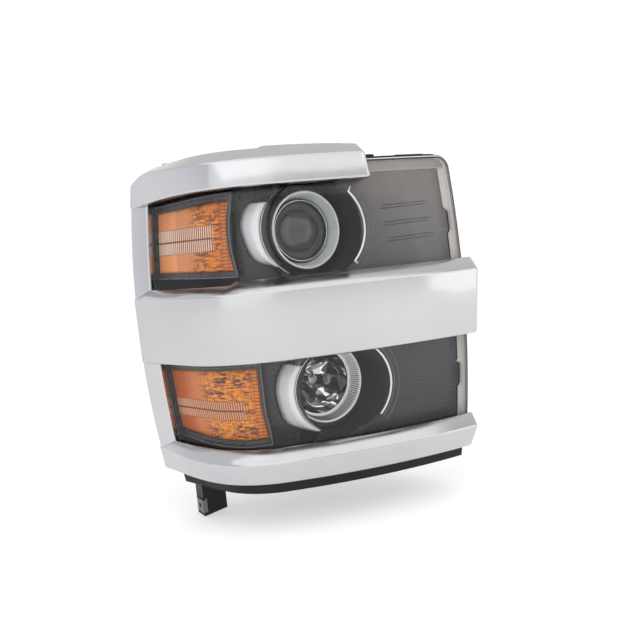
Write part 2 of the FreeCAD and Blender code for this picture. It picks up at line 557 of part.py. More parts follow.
def make_projector():
    o = axis_origin(LOW)
    radius = (GLASS_R ** 2 + (GLASS_RIM - GLASS_APEX) ** 2) / (2 * (GLASS_RIM - GLASS_APEX))
    half = math.asin(GLASS_R / radius) / 2
    mid = Vector(radius * math.sin(half), 0, GLASS_APEX + radius * (1 - math.cos(half)))
    edges = [Part.Arc(Vector(0, 0, GLASS_APEX), mid, Vector(GLASS_R, 0, GLASS_RIM)).toShape()]
    corners = [Vector(GLASS_R, 0, GLASS_RIM), Vector(GLASS_R, 0, GLASS_BACK), Vector(0, 0, GLASS_BACK), Vector(0, 0, GLASS_APEX)]
    edges += [Part.makeLine(a, b) for a, b in zip(corners, corners[1:])]
    parts["projector_lens"] = lathe_wire(Part.Wire(edges), o)
    parts["lens_retainer"] = lathe([(33.2, 46), (38.4, 46), (38.4, 56.8), (35.3, 56.8), (35.3, 48), (33.2, 48)], o)
    parts["low_trim_ring"] = lathe([(43.3, 34.8), (44.6, 34.8), (44.6, 37), (42.4, 62), (40.9, 62),
                                    (40.9, 54), (38.9, 49), (38.9, 47.5)], o)
    parts["projector_holder"] = lathe([(34, 57), (40.6, 57), (40.6, LOW_PLATE + PLATE + 0.1),
                                       (47, LOW_PLATE + PLATE + 0.1), (47, 84), (41, 84), (41, 100), (37, 100),
                                       (37, 60), (34, 60)], o)
    disc = rod(41, 100.2, 101.4, o)
    z = LOW[1]
    opening = prism([Vector(-30, 90, z + 34), Vector(-30, 90, z + 1), Vector(-2, 90, z + 1), Vector(3, 90, z - 3),
                     Vector(30, 90, z - 3), Vector(30, 90, z + 34)], Vector(0, 20, 0)).common(rod(33, 90, 110, o))
    parts["cutoff_shield"] = disc.cut(opening)
    parts["projector_bowl"] = reflector_bowl(o, 37.0, 103.6, LOW_COLLAR + 2, 41.0, 101.6)


def reflector_bowl(o, mouth_r, mouth, collar, flange_r, flange_h):
    """A half-ellipse shell from the mouth back to a collar that takes the bulb."""
    def line(extra):
        points = []
        for k in range(8):
            r = mouth_r + (COLLAR_BORE - 1.5 - mouth_r) * k / 7
            points.append(Vector(r + extra, 0, mouth + (collar - mouth) * math.sqrt(1 - (r / mouth_r) ** 2) * 1.06 + extra * 0.8))
        curve = Part.BSplineCurve()
        curve.interpolate(points)
        return curve.toShape(), points
    inner, ip = line(0.0)
    outer, op = line(2.0)
    edges = [inner, Part.makeLine(ip[-1], op[-1]), outer, Part.makeLine(op[0], ip[0])]
    shell = lathe_wire(Part.Wire(Part.__sortEdges__(edges)), o)
    flange = tube(mouth_r, flange_r, flange_h, mouth + 2.0, o)
    ring = tube(COLLAR_BORE, COLLAR_BORE + 4, collar - 4, collar + 8, o)
    ledges = bayonet(COLLAR_BORE - 2.4, COLLAR_BORE + 1, collar + 4, collar + 7, LEDGE_SPAN, o)
    seat = rod(COLLAR_BORE, collar + 0.1, collar + 3.9, o)
    return fuse([fuse([shell, flange, ring]).cut(seat)] + ledges)


def make_bulb(name, axis, collar, reach):
    """A single-ended halogen bulb with a right-angle plug body, locked in its reflector's collar."""
    o = axis_origin(axis)
    face = collar + 8
    glass = capsule(6.0, collar - reach, collar - 3, o)
    parts[name + "_bulb_glass"] = glass
    neck = rod(11.8, collar - 2.8, face + 2, o)
    lugs = bayonet(11.0, 14.2, collar + 0.6, collar + 3.6, LUG_SPAN, o)
    flange = rod(19.0, face + 2, face + 4.5, o)
    body = box(axis[0] - 12, axis[0] + 12, face + 4.5, face + 22, axis[1] - 12, axis[1] + 12)
    plug = box(axis[0] - 10, axis[0] + 10, face + 8, face + 21, axis[1] - 27, axis[1] - 10)
    mouth = box(axis[0] - 8, axis[0] + 8, face + 10, face + 19, axis[1] - 28, axis[1] - 15)
    parts[name + "_bulb_base"] = fuse([neck, flange, body, plug.cut(mouth)] + lugs)
    parts[name + "_bulb_seal"] = tube(12.0, 17.5, face + 0.2, face + 1.9, o)


# ---------------------------------------------------------------- high-beam reflector

def make_high_beam():
    o = axis_origin(HIGH)
    bowl = reflector_bowl(o, 39.0, HIGH_BOWL_MOUTH, HIGH_COLLAR + 2, 41.2, HIGH_BOWL_MOUTH)
    flange = tube(38.2, 47.0, HIGH_PLATE - 4.2, HIGH_PLATE - 0.1, o)
    inside = lathe([(0, 40), (38.4, 40), (38.4, 60), (33, 80), (0, 80)], o)
    parts["high_beam_reflector"] = fuse([bowl, flange.cut(inside)])
    parts["high_trim_ring"] = lathe([(45.2, 28), (46.7, 28), (46.7, 30), (43.6, 52), (41.6, 52), (41.6, 46.6),
                                     (39.3, 46.6), (39.3, 44.6)], o)
    cup = lathe([(0, 56), (8, 58), (9.5, 60), (9.5, 72), (8.3, 72), (8.3, 60.6), (7.4, 59.2), (0, 57.2)], o)
    stay = box(HIGH[0] - 1, HIGH[0] + 1, 62, 84, HIGH[1] - 31.5, HIGH[1] - 9)
    parts["high_bulb_shield"] = fuse([cup, stay])


# ---------------------------------------------------------------- carriages, pivots and adjusters

def make_carriage(name, axis, plate, hole_r):
    o = axis_origin(axis)
    mid = plate + PLATE / 2
    disc = rod(54, plate, plate + PLATE, o)
    ears, holes = [disc], [rod(hole_r, plate - 5, plate + 10, o)]
    sx, sz = screw_axis(axis)
    spots = [(x, z, 12.5, SOCKET_R) for x, z in pivots(axis)] + [(sx, sz, 11.5, NUT_BODY_R)]
    for x, z, r, bore in spots:
        ears.append(rod(r, plate, plate + PLATE, (x, 0, z)))
        holes.append(rod(bore + 0.1, plate - 5, plate + 10, (x, 0, z)))
    frame = fuse(ears)
    for h in holes:
        frame = frame.cut(h)
    parts[name + "_carriage"] = frame
    sockets, studs = [], []
    for x, z in pivots(axis):
        p = (x, 0, z)
        ball = Part.makeSphere(BALL_R + BALL_PLAY, Vector(x, mid, z))
        cup = rod(SOCKET_R, mid - 7, mid + 4.5, p).fuse(tube(SOCKET_R - 1, SOCKET_R + 1.8, plate - 2, plate - 0.1, p))
        sockets.append(cup.cut(ball).cut(rod(4.2, mid, mid + 10, p)))
        tip = mid + POST_GAP
        studs.append(Part.makeSphere(BALL_R, Vector(x, mid, z)).fuse(rod(STUD_R, mid, tip + 7.5, p))
                     .fuse(rod(5.0, tip - 3, tip - 0.1, p)))
    parts[name + "_pivot_sockets"] = Part.makeCompound(sockets)
    parts[name + "_pivot_studs"] = Part.makeCompound(studs)
    s = (sx, 0, sz)
    nut = rod(NUT_BODY_R, mid - 6, mid + 8, s).fuse(rod(NUT_BODY_R + 2, plate + PLATE + 0.1, plate + PLATE + 2, s))
    parts[name + "_adjuster_nut"] = nut.cut(rod(SCREW_R + 0.9, mid - 20, mid + 20, s))
    shaft = rod(SCREW_R, mid - 12, REAR + 1, s)
    collar = rod(6.0, REAR - 10, REAR - 6.4, s)
    flange = rod(9.0, REAR + 0.6, REAR + 3, s)
    hexagon = prism([Vector(sx + 5.8 * math.cos(k * math.pi / 3), REAR + 3, sz + 5.8 * math.sin(k * math.pi / 3))
                     for k in range(6)], Vector(0, 8, 0))
    parts[name + "_adjuster_screw"] = fuse([shaft, collar, flange, hexagon])


def make_cap(name, axis):
    """A twist-off access cap: a skirt with three lugs, a flange and a grip bar."""
    o = axis_origin(axis)
    skirt = tube(32.0, 35.0, REAR - 16, REAR + 5, o)
    lugs = bayonet(34.0, CAP_BORE - 0.6, REAR - 13, REAR - 8.4, LUG_SPAN, o)
    lid = rod(CAP_BOSS, REAR + 6, REAR + 9, o).fuse(tube(32.0, 35.0, REAR + 4, REAR + 7, o))
    grip = box(axis[0] - 26, axis[0] + 26, REAR + 8.5, REAR + 18, axis[1] - 3, axis[1] + 3)
    rim = tube(CAP_BOSS - 4, CAP_BOSS, REAR + 8.5, REAR + 11, o)
    parts[name + "_access_cap"] = fuse([skirt, lid, grip, rim] + lugs)
    parts[name + "_cap_seal"] = tube(38.6, 43.0, REAR + 4.2, REAR + 5.9, o)


# ---------------------------------------------------------------- build and export

def build():
    make_lens()
    make_trim()
    make_housing()
    make_nut()
    make_rear_fittings()
    make_bezel()
    make_shroud("low", LOW_MOUTH, LOW_SHROUD_R, LOW, 46.5)
    make_shroud("high", HIGH_MOUTH, HIGH_SHROUD_R, HIGH, 44.0)
    for name, start, (z0, z1), z in (("upper", UPPER_AMBER_START, UPPER_AMBER, UPPER_TURN_Z),
                                     ("lower", LOWER_AMBER_START, LOWER_AMBER, LOWER_TURN_Z)):
        make_turn_frame(name, start, z0, z1)
        make_turn_reflector(name, start, z0, z1, z)
        make_turn_socket(name, z)
    make_projector()
    make_high_beam()
    make_bulb("low", LOW, LOW_COLLAR + 2, 40)
    make_bulb("high", HIGH, HIGH_COLLAR + 2, 44)
    make_carriage("low", LOW, LOW_PLATE, 41.0)
    make_carriage("high", HIGH, HIGH_PLATE, 42.0)
    make_cap("low", LOW)
    make_cap("high", HIGH)


def export():
    os.makedirs("parts", exist_ok=True)
    for name, shape in parts.items():
        row = shape.copy()
        row.translate(BRACKET_NUT * -1)
        solids = row.Solids
        assert solids and all(s.isValid() and s.Volume > 0 for s in solids), name
        row = solids[0] if len(solids) == 1 else Part.makeCompound(solids)
        row.exportStep(f"parts/{name}.step")
        b = row.BoundBox
        print(f"{name:24s} {len(solids)} solids {row.Volume / 1000:8.2f} cm3  x {b.XMin:.1f} {b.XMax:.1f}"
              f"  y {b.YMin:.1f} {b.YMax:.1f}  z {b.ZMin:.1f} {b.ZMax:.1f}")


build()
export()
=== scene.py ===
"""Headlight assembly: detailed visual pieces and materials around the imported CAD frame.

Shapes are worked out in lamp coordinates, in millimetres: x inboard, y rearward, z up, with the projector's
axis at x = 0, z = 112. row() turns them into the row frame. A station s runs along the lamp's curved front
from its inboard end, and an offset d counts outward from the clear lens's surface.
"""

import math

import bpy
from mathutils import Matrix, Vector


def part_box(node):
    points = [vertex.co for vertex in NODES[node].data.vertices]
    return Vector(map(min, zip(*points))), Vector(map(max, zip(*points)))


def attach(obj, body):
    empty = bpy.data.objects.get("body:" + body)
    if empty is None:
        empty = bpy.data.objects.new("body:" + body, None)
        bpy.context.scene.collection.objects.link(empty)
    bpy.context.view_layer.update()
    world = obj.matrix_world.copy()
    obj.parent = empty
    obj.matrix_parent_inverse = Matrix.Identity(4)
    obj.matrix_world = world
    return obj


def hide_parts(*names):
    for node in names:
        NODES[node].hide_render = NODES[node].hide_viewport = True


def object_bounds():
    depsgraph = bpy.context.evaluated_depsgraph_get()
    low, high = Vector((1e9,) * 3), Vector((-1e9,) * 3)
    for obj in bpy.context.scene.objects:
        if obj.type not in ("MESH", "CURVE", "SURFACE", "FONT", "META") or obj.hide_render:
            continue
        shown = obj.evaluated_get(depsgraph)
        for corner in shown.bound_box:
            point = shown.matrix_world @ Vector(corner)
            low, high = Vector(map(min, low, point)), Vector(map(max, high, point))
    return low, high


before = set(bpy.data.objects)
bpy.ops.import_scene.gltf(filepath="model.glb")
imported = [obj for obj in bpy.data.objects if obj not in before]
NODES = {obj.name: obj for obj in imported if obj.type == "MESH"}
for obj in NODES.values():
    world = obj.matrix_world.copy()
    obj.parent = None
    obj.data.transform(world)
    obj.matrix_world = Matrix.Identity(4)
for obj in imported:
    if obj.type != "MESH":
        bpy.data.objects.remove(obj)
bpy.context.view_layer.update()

low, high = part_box("projector_lens")
SHIFT = (low + high) / 2 - Vector((0.0, 0.044, 0.112))  # lamp origin in the row frame

# Plan curve of the lens surface, as the CAD model has it
FRONT_LENGTH, CORNER_LENGTH = 246.0, 106.0
HEADINGS = (1.0, 22.0, 74.0)
INBOARD_END = Vector((174.0, -32.0, 0.0))
BOW_RADIUS, BOW_MIDDLE = 1000.0, 17.0
FRONT_R = FRONT_LENGTH / math.radians(HEADINGS[1] - HEADINGS[0])
CORNER_R = CORNER_LENGTH / math.radians(HEADINGS[2] - HEADINGS[1])
LENS_LENGTH, LENS_TOP, LENS_BOTTOM = 428.0, 186.0, -171.0
LENS_CORNER = 15.0

LOW, HIGH = (0.0, 112.0), (7.0, -68.0)  # lamp axes, x and z
LOW_MOUTH, HIGH_MOUTH = (-4.0, 112.7), (14.0, -72.4)
LOW_SHROUD_R, HIGH_SHROUD_R = 57.0, 55.5
FLUTES = 104  # round the high beam's bright ring
RIB_PITCH = 3.8  # of the amber lenses' ribbed bands
UV_SCALE = 0.01  # UVs hold station and height in decimetres


def outward(heading):
    a = math.radians(heading)
    return Vector((-math.sin(a), -math.cos(a), 0.0))


FRONT_CENTRE = INBOARD_END - outward(HEADINGS[0]) * FRONT_R
CORNER_CENTRE = FRONT_CENTRE + outward(HEADINGS[1]) * (FRONT_R - CORNER_R)
SIDE_START = CORNER_CENTRE + outward(HEADINGS[2]) * CORNER_R
SIDE_WAY = Vector((-math.cos(math.radians(HEADINGS[2])), math.sin(math.radians(HEADINGS[2])), 0.0))
SIDE_STATION = FRONT_LENGTH + CORNER_LENGTH


def front(s, z, d):
    """The point at station s, height z and offset d from the bowed lens surface."""
    d -= (z - BOW_MIDDLE) ** 2 / (2 * BOW_RADIUS)
    if s < FRONT_LENGTH:
        p = FRONT_CENTRE + outward(HEADINGS[0] + math.degrees(s / FRONT_R)) * (FRONT_R + d)
    elif s < SIDE_STATION:
        heading = HEADINGS[1] + math.degrees((s - FRONT_LENGTH) / CORNER_R)
        p = CORNER_CENTRE + outward(heading) * (CORNER_R + d)
    else:
        p = SIDE_START + SIDE_WAY * (s - SIDE_STATION) + outward(HEADINGS[2]) * d
    return Vector((p.x, p.y, z))


def station_of(x, d=0.0):
    """The station on the front arc whose point at this offset has this x."""
    return FRONT_R * (math.asin((FRONT_CENTRE.x - x) / (FRONT_R + d)) - math.radians(HEADINGS[0]))


def row(p):
    return Vector(p) * 0.001 + SHIFT


def lerp(a, b, t):
    return a + (b - a) * t


def curve_value(points, x):
    """Straight-line interpolation through (x, y) points, held level past both ends."""
    if x <= points[0][0]:
        return points[0][1]
    for (x0, y0), (x1, y1) in zip(points, points[1:]):
        if x <= x1:
            return lerp(y0, y1, (x - x0) / (x1 - x0))
    return points[-1][1]


def smooth(t):
    t = min(1.0, max(0.0, t))
    return t * t * (3 - 2 * t)


def steps(a, b, pitch):
    n = max(1, round(abs(b - a) / pitch))
    return [lerp(a, b, i / n) for i in range(n + 1)]


def rounded(points, radii, n=5):
    """A polyline in two dimensions with its inner corners replaced by arcs of these radii."""
    out = [points[0]]
    for i in range(1, len(points) - 1):
        p, a, b = (Vector(points[k]) for k in (i, i - 1, i + 1))
        u, v = (a - p).normalized(), (b - p).normalized()
        half = u.angle(v) / 2
        reach = min(radii[i - 1] / math.tan(half), (a - p).length * 0.49, (b - p).length * 0.49)
        r = reach * math.tan(half)
        centre = p + (u + v).normalized() * math.hypot(reach, r)
        start, end = p + u * reach - centre, p + v * reach - centre
        turn = start.angle_signed(end)
        for k in range(n + 1):
            q = Matrix.Rotation(-turn * k / n, 2) @ start
            out.append(tuple(centre + q))
    return out + [points[-1]]


def smooth_curve(points, n):
    """Points along a Catmull-Rom curve through the given ones."""
    out = []
    ends = [points[0]] + list(points) + [points[-1]]
    for a, b, c, e in zip(ends, ends[1:], ends[2:], ends[3:]):
        for k in range(n):
            t = k / n
            out.append(tuple(0.5 * (2 * q + (r - p) * t + (2 * p - 5 * q + 4 * r - w) * t * t +
                                    (3 * q - p - 3 * r + w) * t ** 3) for p, q, r, w in zip(a, b, c, e)))
    return out + [tuple(points[-1])]


# -------- meshes

def make_piece(name, rows, material, slot, replaces=(), closed=False, uvs=None, wall=0.0, sharp=30.0,
               caps=False):
    """A piece on the lamp's body from a grid of lamp points. closed joins each row's ends, caps closes the
    first and last row, and wall thickens the sheet inwards."""
    verts = [row(p) for line in rows for p in line]
    width = len(rows[0])
    faces = []
    for i in range(len(rows) - 1):
        for j in range(width if closed else width - 1):
            k = (j + 1) % width
            faces.append((i * width + j, i * width + k, (i + 1) * width + k, (i + 1) * width + j))
    if caps:
        faces.append(tuple(reversed(range(width))))
        faces.append(tuple(range((len(rows) - 1) * width, len(rows) * width)))
    flat_uvs = [uv for line in uvs for uv in line] if uvs else None
    return finish_piece(name, verts, faces, material, "lamp_body", replaces, flat_uvs, wall, sharp)


def front_piece(name, grid, material, slot, **options):
    """A piece from a grid of (station, height, offset), with stations and heights as its UVs."""
    rows = [[front(s, z, d) for s, z, d in line] for line in grid]
    uvs = [[(s * UV_SCALE, z * UV_SCALE) for s, z, d in line] for line in grid]
    return make_piece(name, rows, material, slot, uvs=uvs, **options)


def new_object(name, data):
    obj = bpy.data.objects.new(name, data)
    bpy.context.scene.collection.objects.link(obj)
    return obj


def finish_piece(name, verts, faces, material, body, replaces, uvs, wall, sharp):
    mesh = bpy.data.meshes.new(name)
    mesh.from_pydata(verts, [], faces)
    mesh.validate()
    mesh.polygons.foreach_set("use_smooth", [True] * len(mesh.polygons))
    if uvs:
        layer = mesh.uv_layers.new(name="UVMap")
        for loop in mesh.loops:
            layer.data[loop.index].uv = uvs[loop.vertex_index]
    mesh.set_sharp_from_angle(angle=math.radians(sharp))
    obj = new_object(name, mesh)
    mesh.materials.append(material)
    if wall:
        solid = obj.modifiers.new("wall", "SOLIDIFY")
        solid.thickness = wall * 0.001
        solid.offset = -1.0
    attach(obj, body)
    if replaces:
        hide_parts(*replaces)
    return obj


def lathe(name, profile, axis, material, body, replaces=(), turns=160, swell=None, sharp=30.0):
    """Turns a closed (r, y) profile about a line along Y through axis. swell(angle, r, y) is added to r."""
    verts, uvs, faces = [], [], []
    width = len(profile)
    for i in range(turns):
        a = 2 * math.pi * i / turns
        k = (i + 1) % turns
        for j, (r, y) in enumerate(profile):
            m = (j + 1) % width
            reach = r + (swell(a, r, y) if swell else 0.0)
            verts.append(row((axis[0] + reach * math.cos(a), y, axis[1] + reach * math.sin(a))))
            uvs.append((i / turns, y * UV_SCALE))
            faces.append((i * width + j, i * width + m, k * width + m, k * width + j))
    return finish_piece(name, verts, faces, material, body, replaces, uvs, 0.0, sharp)


def tube_along(name, points, r, material, slot, replaces=(), sides=10, flat=1.0):
    """A rounded strip along lamp points. flat squeezes its section along the outward direction."""
    rows = []
    last = len(points) - 1
    angles = [2 * math.pi * k / sides for k in range(sides)]
    for i, p in enumerate(points):
        along = (Vector(points[min(i + 1, last)]) - Vector(points[max(i - 1, 0)])).normalized()
        side = along.cross(Vector((-0.25, -1.0, 0.0))).normalized()
        out = side.cross(along).normalized()
        rows.append([Vector(p) + side * r * math.cos(a) + out * r * flat * math.sin(a) for a in angles])
    return make_piece(name, rows, material, slot, replaces, closed=True, caps=True, sharp=60)


# -------- material helpers

class Net:
    """Short names for the nodes of one material."""

    def __init__(self, name):
        self.material = bpy.data.materials.new(name)
        self.material.use_nodes = True
        self.tree = self.material.node_tree
        self.bsdf = self.tree.nodes["Principled BSDF"]
        coordinates = self.tree.nodes.new("ShaderNodeTexCoord")
        self.place = coordinates.outputs["Object"]
        self.uv = coordinates.outputs["UV"]

    def link(self, a, b):
        if isinstance(a, (int, float)):
            b.default_value = a
        elif isinstance(a, tuple):
            b.default_value = (*a, 1.0) if len(a) == 3 else a
        else:
            self.tree.links.new(a, b)

    def set(self, **values):
        for key, value in values.items():
            self.link(value, self.bsdf.inputs[key.replace("_", " ")])

    def math(self, op, a, b=0.0):
        node = self.tree.nodes.new("ShaderNodeMath")
        node.operation = op
        self.link(a, node.inputs[0])
        self.link(b, node.inputs[1])
        return node.outputs[0]

    def times(self, a, b):
        return self.math("MULTIPLY", a, b)

    def ramp(self, value, lo, hi, a=0.0, b=1.0):
        """Smooth step of value from lo to hi, giving a to b."""
        node = self.tree.nodes.new("ShaderNodeMapRange")
        node.interpolation_type = "SMOOTHSTEP"
        for key, v in zip((0, 1, 2, 3, 4), (value, lo, hi, a, b)):
            self.link(v, node.inputs[key])
        return node.outputs[0]

    def band(self, value, lo, hi, soft):
        rise = self.ramp(value, lo - soft, lo + soft)
        fall = self.ramp(value, hi - soft, hi + soft, 1.0, 0.0)
        return self.times(rise, fall)

    def mix(self, factor, a, b):
        node = self.tree.nodes.new("ShaderNodeMix")
        node.data_type = "RGBA"
        self.link(factor, node.inputs[0])
        self.link(a, node.inputs[6])
        self.link(b, node.inputs[7])
        return node.outputs[2]

    def noise(self, scale, detail=3.0, where=None):
        node = self.tree.nodes.new("ShaderNodeTexNoise")
        node.inputs["Scale"].default_value = scale
        node.inputs["Detail"].default_value = detail
        self.link(where or self.place, node.inputs["Vector"])
        return node.outputs[0]

    def stretch(self, x, y, z, where=None):
        node = self.tree.nodes.new("ShaderNodeMapping")
        node.inputs["Scale"].default_value = (x, y, z)
        self.link(where or self.place, node.inputs["Vector"])
        return node.outputs[0]

    def cells(self, where):
        """A random tone in each cut cell, and the distance from its middle."""
        node = self.tree.nodes.new("ShaderNodeTexVoronoi")
        node.distance = "MANHATTAN"
        node.inputs["Scale"].default_value = 1.0
        self.link(where, node.inputs["Vector"])
        split = self.tree.nodes.new("ShaderNodeSeparateColor")
        self.link(node.outputs["Color"], split.inputs[0])
        return split.outputs[0], node.outputs["Distance"]

    def stations(self):
        """Station and height in millimetres, from the UV map."""
        split = self.tree.nodes.new("ShaderNodeSeparateXYZ")
        self.link(self.uv, split.inputs[0])
        return (self.times(split.outputs[0], 1 / UV_SCALE),
                self.times(split.outputs[1], 1 / UV_SCALE))

    def bump(self, height, strength, distance):
        node = self.tree.nodes.new("ShaderNodeBump")
        node.inputs["Strength"].default_value = strength
        node.inputs["Distance"].default_value = distance
        self.link(height, node.inputs["Height"])
        self.link(node.outputs[0], self.bsdf.inputs["Normal"])


def srgb(r, g, b):
    """Linear colour from 0-255 display values."""
    shares = (v / 255 for v in (r, g, b))
    return tuple(v / 12.92 if v <= 0.04045 else ((v + 0.055) / 1.055) ** 2.4 for v in shares)


def shade(colour, k):
    return tuple(min(1.0, c * k) for c in colour)


def plain(name, colour, rough, metal=0.0, vary=0.12, grain=900.0, bump=0.08, distance=0.0004, rough_vary=0.08,
          **values):
    """A moulded, cast or plated surface: slow colour drift, uneven gloss and a fine grain."""
    net = Net(name)
    tone = srgb(*colour)
    drift = net.noise(22.0, 4.0)
    gloss = net.ramp(net.noise(60.0, 5.0), 0.3, 0.7, max(0.02, rough - rough_vary), rough + rough_vary)
    net.set(Base_Color=net.mix(drift, shade(tone, 1 - vary), shade(tone, 1 + vary)), Metallic=metal,
            Roughness=gloss, **values)
    net.bump(net.noise(grain, 2.0), bump, distance)
    return net.material


# -------- materials

def chrome_material():
    """Soft bright plating: slight ripple in the surface, faint cloudiness and finer pores."""
    net = Net("plated_trim")
    cloud = net.noise(9.0, 3.0)
    net.set(Base_Color=net.mix(cloud, srgb(190, 190, 195), srgb(201, 201, 201)), Metallic=1.0,
            Roughness=net.ramp(net.noise(40.0, 4.0), 0.35, 0.65, 0.13, 0.18))
    ripple = net.noise(1.0, 1.0, net.stretch(14.0, 14.0, 30.0))
    fine = net.noise(700.0, 2.0)
    net.bump(net.math("ADD", ripple, net.times(fine, 0.004)), 0.35, 0.0012)
    return net.material


def lens_material():
    """Clear polycarbonate with a hard coat: a thin film of tint, and faint flow marks in the gloss."""
    net = Net("clear_polycarbonate")
    drift = net.noise(12.0, 3.0)
    net.set(Base_Color=net.mix(drift, srgb(20, 20, 22), srgb(30, 30, 33)), Metallic=0.0, IOR=2.9, Alpha=0.13,
            Roughness=net.ramp(net.noise(30.0, 3.0), 0.3, 0.7, 0.02, 0.05))
    net.bump(net.noise(6.0, 2.0), 0.05, 0.002)
    return net.material


def panel_material():
    """Satin grey bezel plastic with painted light: a painted reflection and shade make each chamber warmer and
    lighter towards its top and darker towards its bottom, and painted shade darkens it towards the shroud.
    """
    net = Net("bezel_panel_plastic_painted_light")
    s, z = net.stations()
    # Painted reflection and shade: each chamber is lighter and warmer towards its top and darker towards its
    # bottom.
    rise = net.ramp(z, 40.0, 190.0)
    upper = net.mix(rise, srgb(88, 88, 94), srgb(122, 116, 113))
    lower = net.mix(net.ramp(z, -160.0, -20.0), srgb(26, 26, 26), srgb(56, 56, 62))
    base = net.mix(net.ramp(z, 10.0, 40.0), lower, upper)
    # Painted shade: the panel darkens towards the shroud.
    near = net.ramp(s, 60.0, 175.0, 0.0, 0.62)
    base = net.mix(near, base, srgb(40, 40, 43))
    drift = net.ramp(net.noise(30.0, 4.0), 0.2, 0.8, 0.0, 0.12)
    gloss = net.ramp(net.noise(80.0, 3.0), 0.3, 0.7, 0.34, 0.4)
    net.set(Base_Color=net.mix(drift, base, srgb(30, 30, 32)), Roughness=gloss)
    net.bump(net.noise(35.0, 2.0), 0.03, 0.0003)
    return net.material


def faceted_material():
    """The high beam's bowl: bright and dull facets as painted reflections, each cut facet given the tone of the
    light it throws back.
    """
    net = Net("faceted_bowl_painted_reflection")
    tone, _ = net.cells(net.stretch(10.0, 6.0, 1.0, net.uv))
    # Painted reflection: each facet cell is painted bright or dark.
    bright = net.ramp(tone, 0.5, 0.56)
    net.set(Base_Color=net.mix(bright, srgb(84, 82, 80), srgb(252, 252, 252)), Metallic=1.0,
            Roughness=net.ramp(net.noise(40.0, 3.0), 0.3, 0.7, 0.04, 0.09))
    net.bump(net.noise(30.0, 2.0), 0.05, 0.0006)
    return net.material


def flange_material():
    """Pale bezel return, greyer along the top."""
    net = Net("bezel_return_beige")
    split = net.tree.nodes.new("ShaderNodeSeparateXYZ")
    net.link(net.place, split.inputs[0])
    top = net.ramp(split.outputs[2], SHIFT.z + 0.1685, SHIFT.z + 0.1745)
    base = net.mix(top, srgb(204, 198, 194), srgb(150, 146, 144))
    net.set(Base_Color=net.mix(net.times(net.noise(40.0), 0.12), base, srgb(120, 116, 114)),
            Roughness=net.ramp(net.noise(90.0, 3.0), 0.3, 0.7, 0.4, 0.5))
    net.bump(net.noise(60.0, 2.0), 0.04, 0.0003)
    return net.material


def fluted_material():
    """Bright plating on the high beam's ring, with a painted shadow in each flute and a faint painted glow."""
    net = Net("fluted_ring_painted_shadow_and_glow")
    turn, depth = net.stations()
    wave = net.math("SINE", net.times(turn, 2 * math.pi * FLUTES * UV_SCALE))
    # groove masks the painted shadow in each flute.
    groove = net.times(net.ramp(wave, -0.1, 0.75), net.band(depth, 31.0, 44.5, 1.2))
    cloud = net.mix(net.noise(60.0, 3.0), srgb(238, 238, 236), srgb(250, 250, 248))
    lit = net.mix(groove, cloud, srgb(62, 62, 62))
    # Painted glow: the ring emits a little of its own colour, though it is no lamp.
    net.set(Base_Color=lit, Metallic=0.1, Roughness=0.25, Emission_Color=lit, Emission_Strength=0.1)
    net.bump(wave, 0.4, 0.0006)
    return net.material


